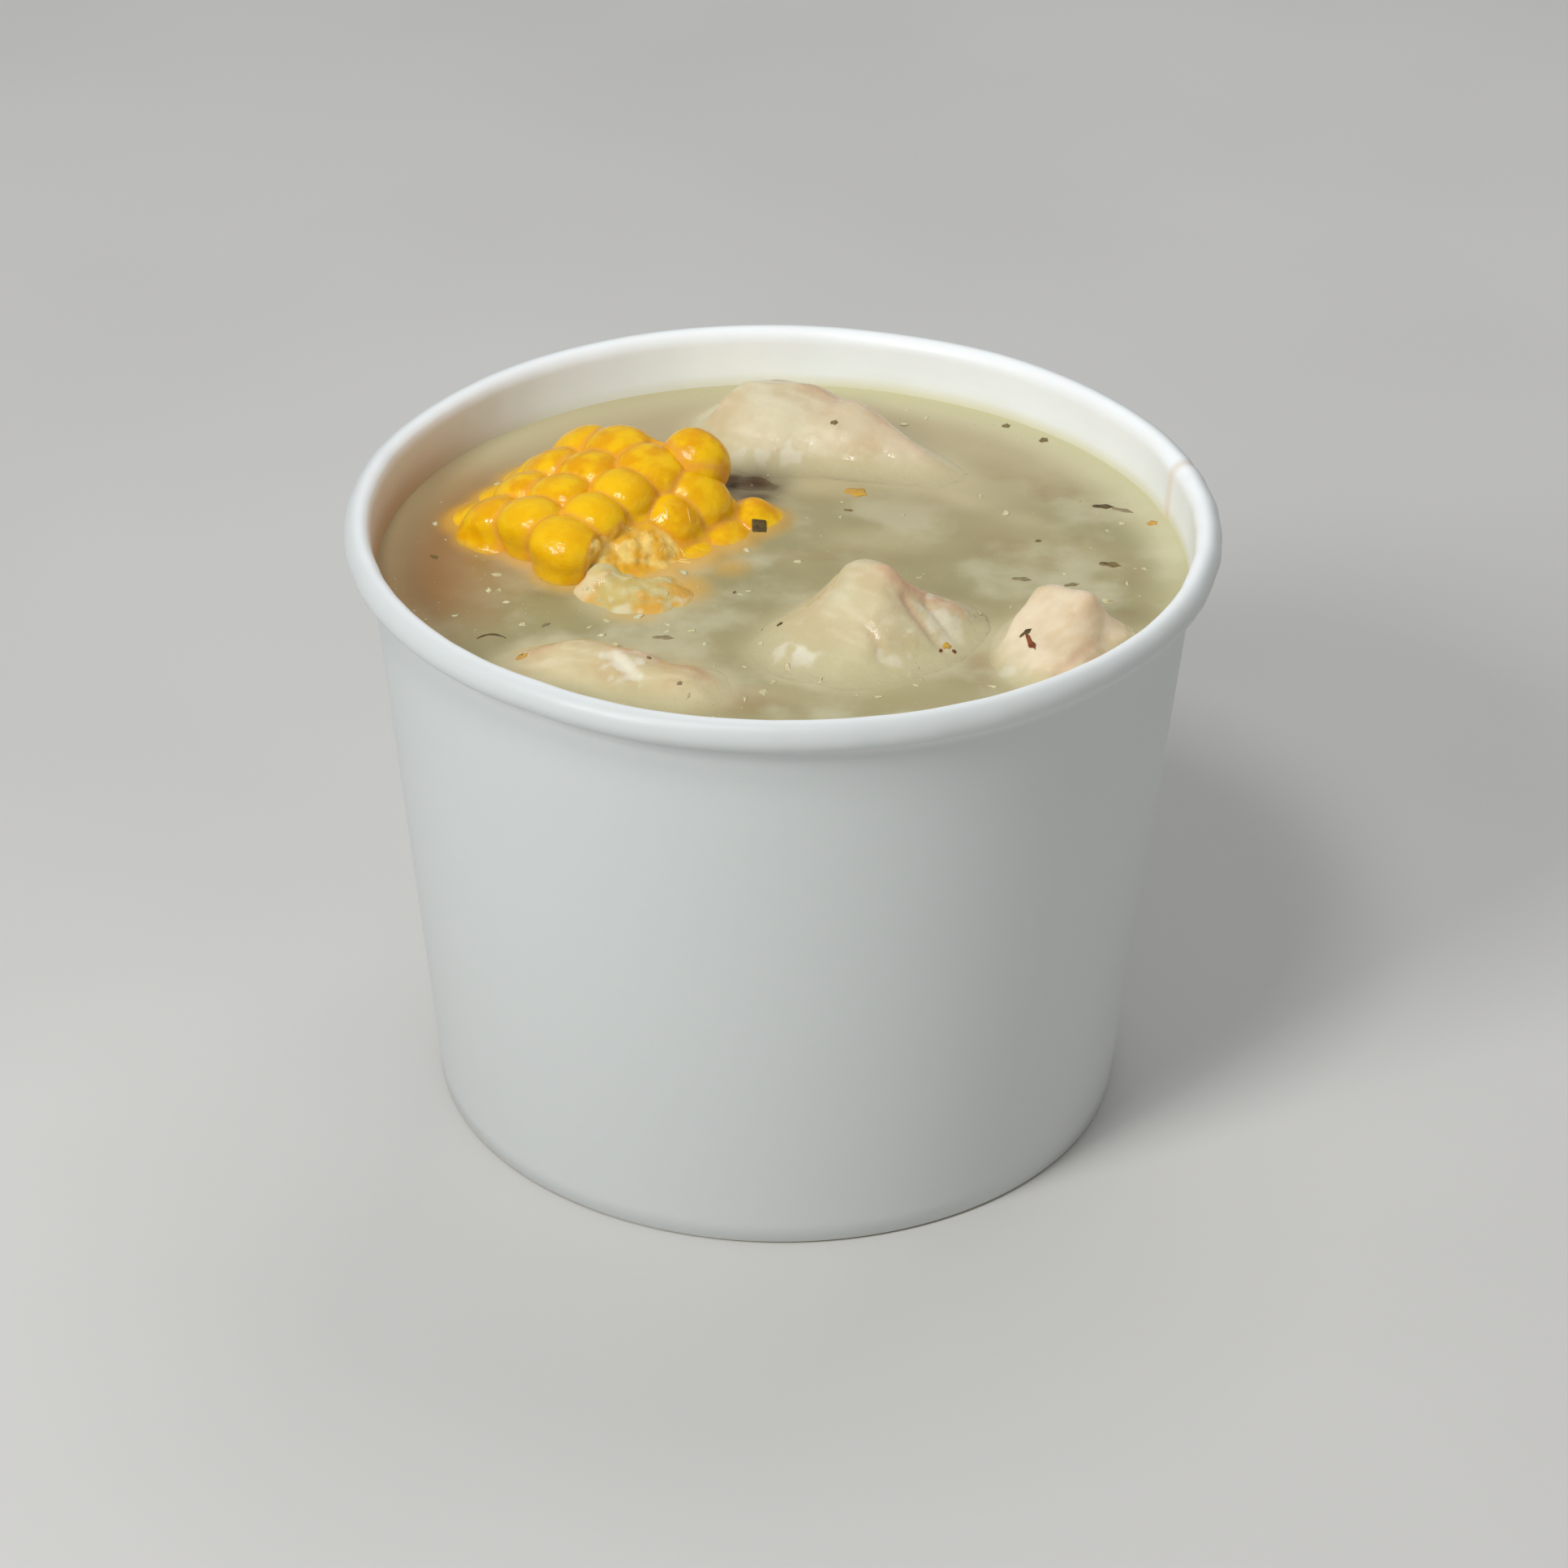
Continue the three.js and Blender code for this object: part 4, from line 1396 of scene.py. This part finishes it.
# %% Paint it on the food, and hand the food over
def sampled(grid, points):
    """The grid's value at each point's place in the plan."""
    spots = np.clip((points[:, :2] - cells[0]) / CELL, 0, len(cells) - 1.001)
    column, row = spots.astype(int).T
    u, v = (spots - spots.astype(int)).T
    near = grid[row, column] * (1 - u) + grid[row, column + 1] * u
    far = grid[row + 1, column] * (1 - u) + grid[row + 1, column + 1] * u
    return near * (1 - v) + far * v


def paint_under(bm):
    """Stores the glow of sunk food and the clouds at each point of a mesh."""
    points = points_of(bm)
    maps = [sampled(grid, points) for grid in (corn_map, meat_map, dark_map, ovals(CLOUDS))]
    paint(bm, "under", np.column_stack(maps).tolist())


for bm in (corn, cob, scrap, back, peak, slab, sliver):
    paint_under(bm)
finished("corn_rows", corn, [kernel_skin], stands_for=["corn_kernels"])
finished("corn_core", cob, [cob_tissue], stands_for=["corn_cob"])
finished("sunk_scrap", scrap, [scrap_skin], stands_for=["dark_scrap"])
finished("chicken_back_piece", back, [back_meat], stands_for=["chicken_drumstick"])
finished("chicken_peak_piece", peak, [peak_meat], stands_for=["chicken_peak"])
finished("chicken_right_piece", slab, [right_meat], stands_for=["chicken_slab"])
finished("chicken_left_piece", sliver, [left_meat], stands_for=["chicken_sliver"])

# %% [markdown]
# ## Broth
#
# The broth is cloudy, so it is made as a solid body with a fine surface rather than as clear
# liquid. Its surface climbs the paper and the food a little, as a liquid does. The fold where its
# top meets its side is kept sharp, because smooth shading across it would darken the broth's edge.

# %% Spin the broth's body and raise its edge
CREEP = 0.25 * MM
CREEP_REACH = 0.8 * MM
FOOD_CREEP = 1.1 * MM
SAME_PLACE = 0.01 * MM
broth_floor = base_high.z + GAP
surface_edge = wall_inside(BROTH_LEVEL) + INTO_WALL

rings = [0.0, *np.linspace(0.4 * MM, surface_edge, 150)]
sides = np.linspace(BROTH_LEVEL, broth_floor, 12)[1:]
bottom = np.linspace(wall_inside(broth_floor) + INTO_WALL, 0, 8)[1:]
broth = spun(
    [(radius, BROTH_LEVEL) for radius in rings]
    + [(wall_inside(height) + INTO_WALL, height) for height in sides]
    + [(radius, broth_floor) for radius in bottom],
    360,
)


def swell(x, y):
    """Slow unevenness of a still, thick surface."""
    slow = noise.noise(Vector((x, y, 0)) * 90)
    fine = noise.noise(Vector((x, y, 1)) * 400)
    return 0.05 * MM * slow + 0.02 * MM * fine


on_top = [vert for vert in broth.verts if vert.co.z > BROTH_LEVEL - SAME_PLACE]
climbs = sampled(climb_map, np.array([vert.co[:] for vert in on_top]))
for vert, climb in zip(on_top, climbs):
    to_wall = surface_edge - math.hypot(vert.co.x, vert.co.y)
    vert.co.z += CREEP * math.exp(-max(to_wall, 0) / CREEP_REACH) + swell(vert.co.x, vert.co.y)
    vert.co.z += FOOD_CREEP * climb * smoothstep(0, 2 * MM, to_wall)
fold = {v for v in on_top if surface_edge - math.hypot(v.co.x, v.co.y) < SAME_PLACE}
for edge in broth.edges:
    edge.smooth = not (edge.verts[0] in fold and edge.verts[1] in fold)
paint_under(broth)
print("broth:", len(broth.faces), "faces, edge at", round(surface_edge / MM, 2), "mm")

# %% Broth material
broth_look, tree, shader = new_material("broth_look", Roughness=BROTH_ROUGHNESS, IOR=1.34)
tree.links.new(use_group(tree, cloudy_broth)["Colour"], shader.inputs["Base Color"])
add_relief(tree, shader, skin_height(tree, 160.0, 900.0, 0.25), 0.1 * MM)
finished("soup", broth, [broth_look], stands_for=["broth"])

# %% [markdown]
# ## Herbs
#
# Flecks of herb float on the broth and stick to the food. Each is a small leaf: a grid pinched at
# its ends, bent a little, and given the thickness of a leaf. It is dropped straight down onto
# whatever lies there, so that it drapes over it. A few fibres of corn pulp are made the same way,
# and one square leaf lies on the kernels, turned to lie on their surface.

# %% Find the surface under a place
soup_shape = bmesh.new()
soup_shape.from_mesh(bpy.data.objects["soup"].data)
surface_trees = [tree for trees in food_trees.values() for tree in trees]
surface_trees.append(BVHTree.FromBMesh(soup_shape))
soup_shape.free()


def drop(x, y):
    """The topmost point of the soup at a place of the plan, and the surface's normal there."""
    above = Vector((x, y, ABOVE_ALL))
    hits = [tree.ray_cast(above, Vector((0, 0, -1))) for tree in surface_trees]
    top = max((hit for hit in hits if hit[0] is not None), key=lambda hit: hit[0].z)
    return top[0], top[1]


def lying_at(x, y, heading):
    """The matrix that lays a small thing made flat at the origin on the surface at a place."""
    point, normal = drop(x, y)
    tilt = Vector((0, 0, 1)).rotation_difference(normal).to_matrix().to_4x4()
    return Matrix.Translation(point) @ tilt @ Matrix.Rotation(math.radians(heading), 4, "Z")


def draped(verts, lift):
    """Lets thin things made at height 0 fall straight onto the soup, keeping their thickness."""
    for vert in verts:
        vert.co.z += drop(vert.co.x, vert.co.y)[0].z + lift


# %% Lay the herbs
LEAF_THICKNESS = 0.12 * MM
LEAF_LIFT = 0.08 * MM
LEAF_ON_CORN = (-2.7 * MM, 7.5 * MM)
PULP_FIBRES = 12
FIBRE_WIDTH = 0.14 * MM
FIBRE_TONE = 5
LEAVES = [  # x, y, length, width and bow in mm, heading, and which tone
    (36.8, 15.2, 2.5, 0.85, 0.0, -4, 0),
    (39.0, 14.3, 2.6, 0.6, 0.1, -24, 2),
    (36.9, 1.0, 2.5, 1.0, 0.1, -12, 1),
    (36.3, 1.2, 1.2, 0.5, 0.1, -24, 0),
    (42.2, 11.2, 1.3, 0.9, 0.0, 30, 3),
    (-39.2, 0.8, 1.2, 0.5, 0.1, -45, 1),
    (-31.7, -17.4, 3.2, 0.26, 0.9, 4, 0),
    (7.5, 13.4, 1.1, 0.4, 0.0, -10, 1),
    (8.4, 17.9, 2.8, 1.9, 0.2, -25, 3),
    (29.0, 6.5, 0.7, 0.5, 0.0, 20, 1),
    (26.3, 35.5, 1.0, 0.8, 0.0, 10, 1),
    (30.6, 31.9, 1.2, 0.9, 0.0, 40, 1),
    (5.8, 26.2, 0.9, 0.6, 0.0, -10, 1),
    (-25.9, -14.6, 1.2, 0.4, 0.1, 40, 2),
    (-12.9, -17.2, 2.4, 0.7, 0.1, -5, 2),
    (26.8, -2.7, 2.2, 0.7, 0.1, -8, 2),
    (32.3, -3.9, 1.7, 0.6, 0.1, 15, 2),
    (-5.3, -6.6, 0.6, 0.3, 0.0, 60, 1),
    (-0.2, -16.9, 0.7, 0.5, 0.0, 20, 0),
    (-10.8, -30.3, 0.6, 0.4, 0.0, 20, 2),
    (-14.2, -25.6, 0.5, 0.4, 0.0, 0, 1),
    (-28.0, -23.9, 1.4, 0.9, 0.0, 30, 3),
    (-28.1, -23.6, 0.6, 0.4, 0.0, 30, 1),
    (18.0, -20.4, 1.1, 0.6, 0.1, 30, 3),
    (17.3, -21.2, 0.6, 0.3, 0.0, 60, 4),
    (18.8, -20.7, 0.5, 0.4, 0.0, 0, 4),
    (26.5, -20.2, 1.5, 0.6, 0.0, 30, 0),
    (27.0, -22.0, 2.9, 0.65, 0.0, -72, 4),
]


def add_leaf(bm, length, width, bow, matrix, tone):
    """A leaf pinched at both ends, bowed along its length, a fraction of a millimetre thick."""
    verts = bmesh.ops.create_grid(bm, x_segments=14, y_segments=4, size=0.5)["verts"]
    for vert in verts:
        x, y = vert.co.x, vert.co.y
        pinch = max(1 - (2 * abs(x)) ** 2.4, 0.12) + 0.22 * math.sin(11 * x + 40 * length)
        curve = bow * (0.5 - 4 * x * x)
        vert.co = Vector((x * length, y * pinch * width + curve, 0))
    faces = list({face for vert in verts for face in vert.link_faces})
    solid = bmesh.ops.solidify(bm, geom=faces, thickness=LEAF_THICKNESS)["geom"]
    verts = {vert for face in faces for vert in face.verts}
    verts |= {part for part in solid if isinstance(part, bmesh.types.BMVert)}
    for face in {face for vert in verts for face in vert.link_faces}:
        face.material_index = tone
    bmesh.ops.transform(bm, matrix=matrix, verts=list(verts))
    draped(verts, LEAF_LIFT)


def herb_material(name, first, second):
    """A dull material for leaves and fibres, of two tones in small patches."""
    material, tree, shader = new_material(name, Roughness=0.5)
    tree.links.new(mottled(tree, first, second, 1500.0), shader.inputs["Base Color"])
    return material


herb_tones = [
    herb_material("herb_dark", srgb(70, 50, 24), srgb(96, 78, 36)),
    herb_material("herb_olive", srgb(108, 92, 44), srgb(128, 108, 62)),
    herb_material("herb_sunk", srgb(144, 130, 96), srgb(132, 118, 84)),
    herb_material("herb_yellow", srgb(208, 164, 60), srgb(196, 150, 70)),
    herb_material("herb_rust", srgb(104, 48, 22), srgb(142, 74, 30)),
    herb_material("pulp_fibre", srgb(244, 214, 130), srgb(236, 196, 96)),
]
herbs = bmesh.new()


def flat_at(x, y, turn):
    """The matrix of a thing laid flat at a place in mm, turned by an angle in radians."""
    return Matrix.Translation(Vector((x, y, 0)) * MM) @ Matrix.Rotation(turn, 4, "Z")


for x, y, length, width, bow, heading, tone in LEAVES:
    matrix = flat_at(x, y, math.radians(heading))
    add_leaf(herbs, length * MM, width * MM, bow * MM, matrix, tone)
random.seed(5)
for _ in range(PULP_FIBRES):
    x, y = random.uniform(-17.5, -10.5), random.uniform(-1, 4.5)
    matrix = flat_at(x, y, random.uniform(0, math.tau))
    length, bow = random.uniform(0.8, 1.7), random.uniform(-0.25, 0.25)
    add_leaf(herbs, length * MM, FIBRE_WIDTH, bow * MM, matrix, FIBRE_TONE)

# %% Add the square leaf on the corn
patch = bmesh.ops.create_cube(herbs, size=1.0)["verts"]
patch_shape = lying_at(*LEAF_ON_CORN, 8) @ Matrix.Diagonal((1.7 * MM, 1.9 * MM, 0.3 * MM, 1))
bmesh.ops.transform(herbs, matrix=patch_shape, verts=patch)
corners = list({edge for vert in patch for edge in vert.link_edges})
bmesh.ops.bevel(
    herbs, geom=corners, offset=0.12 * MM, segments=2, profile=0.5, affect="EDGES", material=-1
)
bmesh.ops.recalc_face_normals(herbs, faces=herbs.faces)
finished("herbs", herbs, herb_tones)

# %% [markdown]
# ## Curds
#
# Fine white curds and scum float everywhere, more of them round the corn and at the front. Each is
# a tiny rough ball with a few dozen faces, scattered by a seeded draw. The few larger ones get
# finer faces.

# %% Scatter the curds
CURDS = 520
LARGE_CURD = 0.6
HIGHEST = 1.2 * MM  # curds lie no further above the level than this
NAMED_CURDS = [  # x, y, size in mm
    (-19.2, -13.5, 0.9),
    (-15.9, -12.6, 1.2),
    (-21.1, -15.0, 0.8),
    (-1.8, -28.9, 1.1),
    (-9.9, -31.6, 0.8),
    (22.8, -27.1, 0.9),
    (6.6, 11.8, 0.7),
    (21.2, 22.8, 0.6),
    (36.3, 22.2, 0.6),
    (39.8, -6.3, 0.5),
    (36.1, -7.6, 1.4),
    (-33.0, 17.8, 1.2),
]
random.seed(11)
curds = bmesh.new()


def add_curd(x, y, size):
    """A flattened rough ball at a place in mm."""
    fineness = 3 if size > LARGE_CURD else 1
    radius = size * MM / 2
    ball = bmesh.ops.create_icosphere(curds, subdivisions=fineness, radius=radius)["verts"]
    squash = Matrix.Diagonal((1, random.uniform(0.35, 0.8), random.uniform(0.15, 0.3), 1))
    for vert in ball:
        vert.co *= 1 + 0.8 * noise.noise(vert.co * 2400 / size + Vector((x, y, 0)))
    matrix = lying_at(x * MM, y * MM, random.uniform(0, 360)) @ squash
    bmesh.ops.transform(curds, matrix=matrix, verts=ball)


for x, y, size in NAMED_CURDS:
    add_curd(x, y, size)
placed = 0
while placed < CURDS:
    reach = (surface_edge / MM - 1.5) * math.sqrt(random.random())
    angle = random.uniform(0, math.tau)
    x, y = reach * math.cos(angle), reach * math.sin(angle)
    near_corn = math.hypot(x + 19, (y + 9) * 1.6) < 13
    likely = 0.3 + 0.3 * (y < -4) + 0.7 * near_corn
    if random.random() > likely or drop(x * MM, y * MM)[0].z > BROTH_LEVEL + HIGHEST:
        continue
    add_curd(x, y, 0.16 + 0.9 * random.random() ** 5)
    placed += 1

curd_look, tree, shader = new_material(
    "curd_look", Roughness=0.45, Subsurface_Weight=0.3, Subsurface_Scale=0.6 * MM
)
tone = mottled(tree, srgb(216, 207, 170), srgb(196, 186, 142), 900.0)
tree.links.new(tone, shader.inputs["Base Color"])
finished("curds", curds, [curd_look])
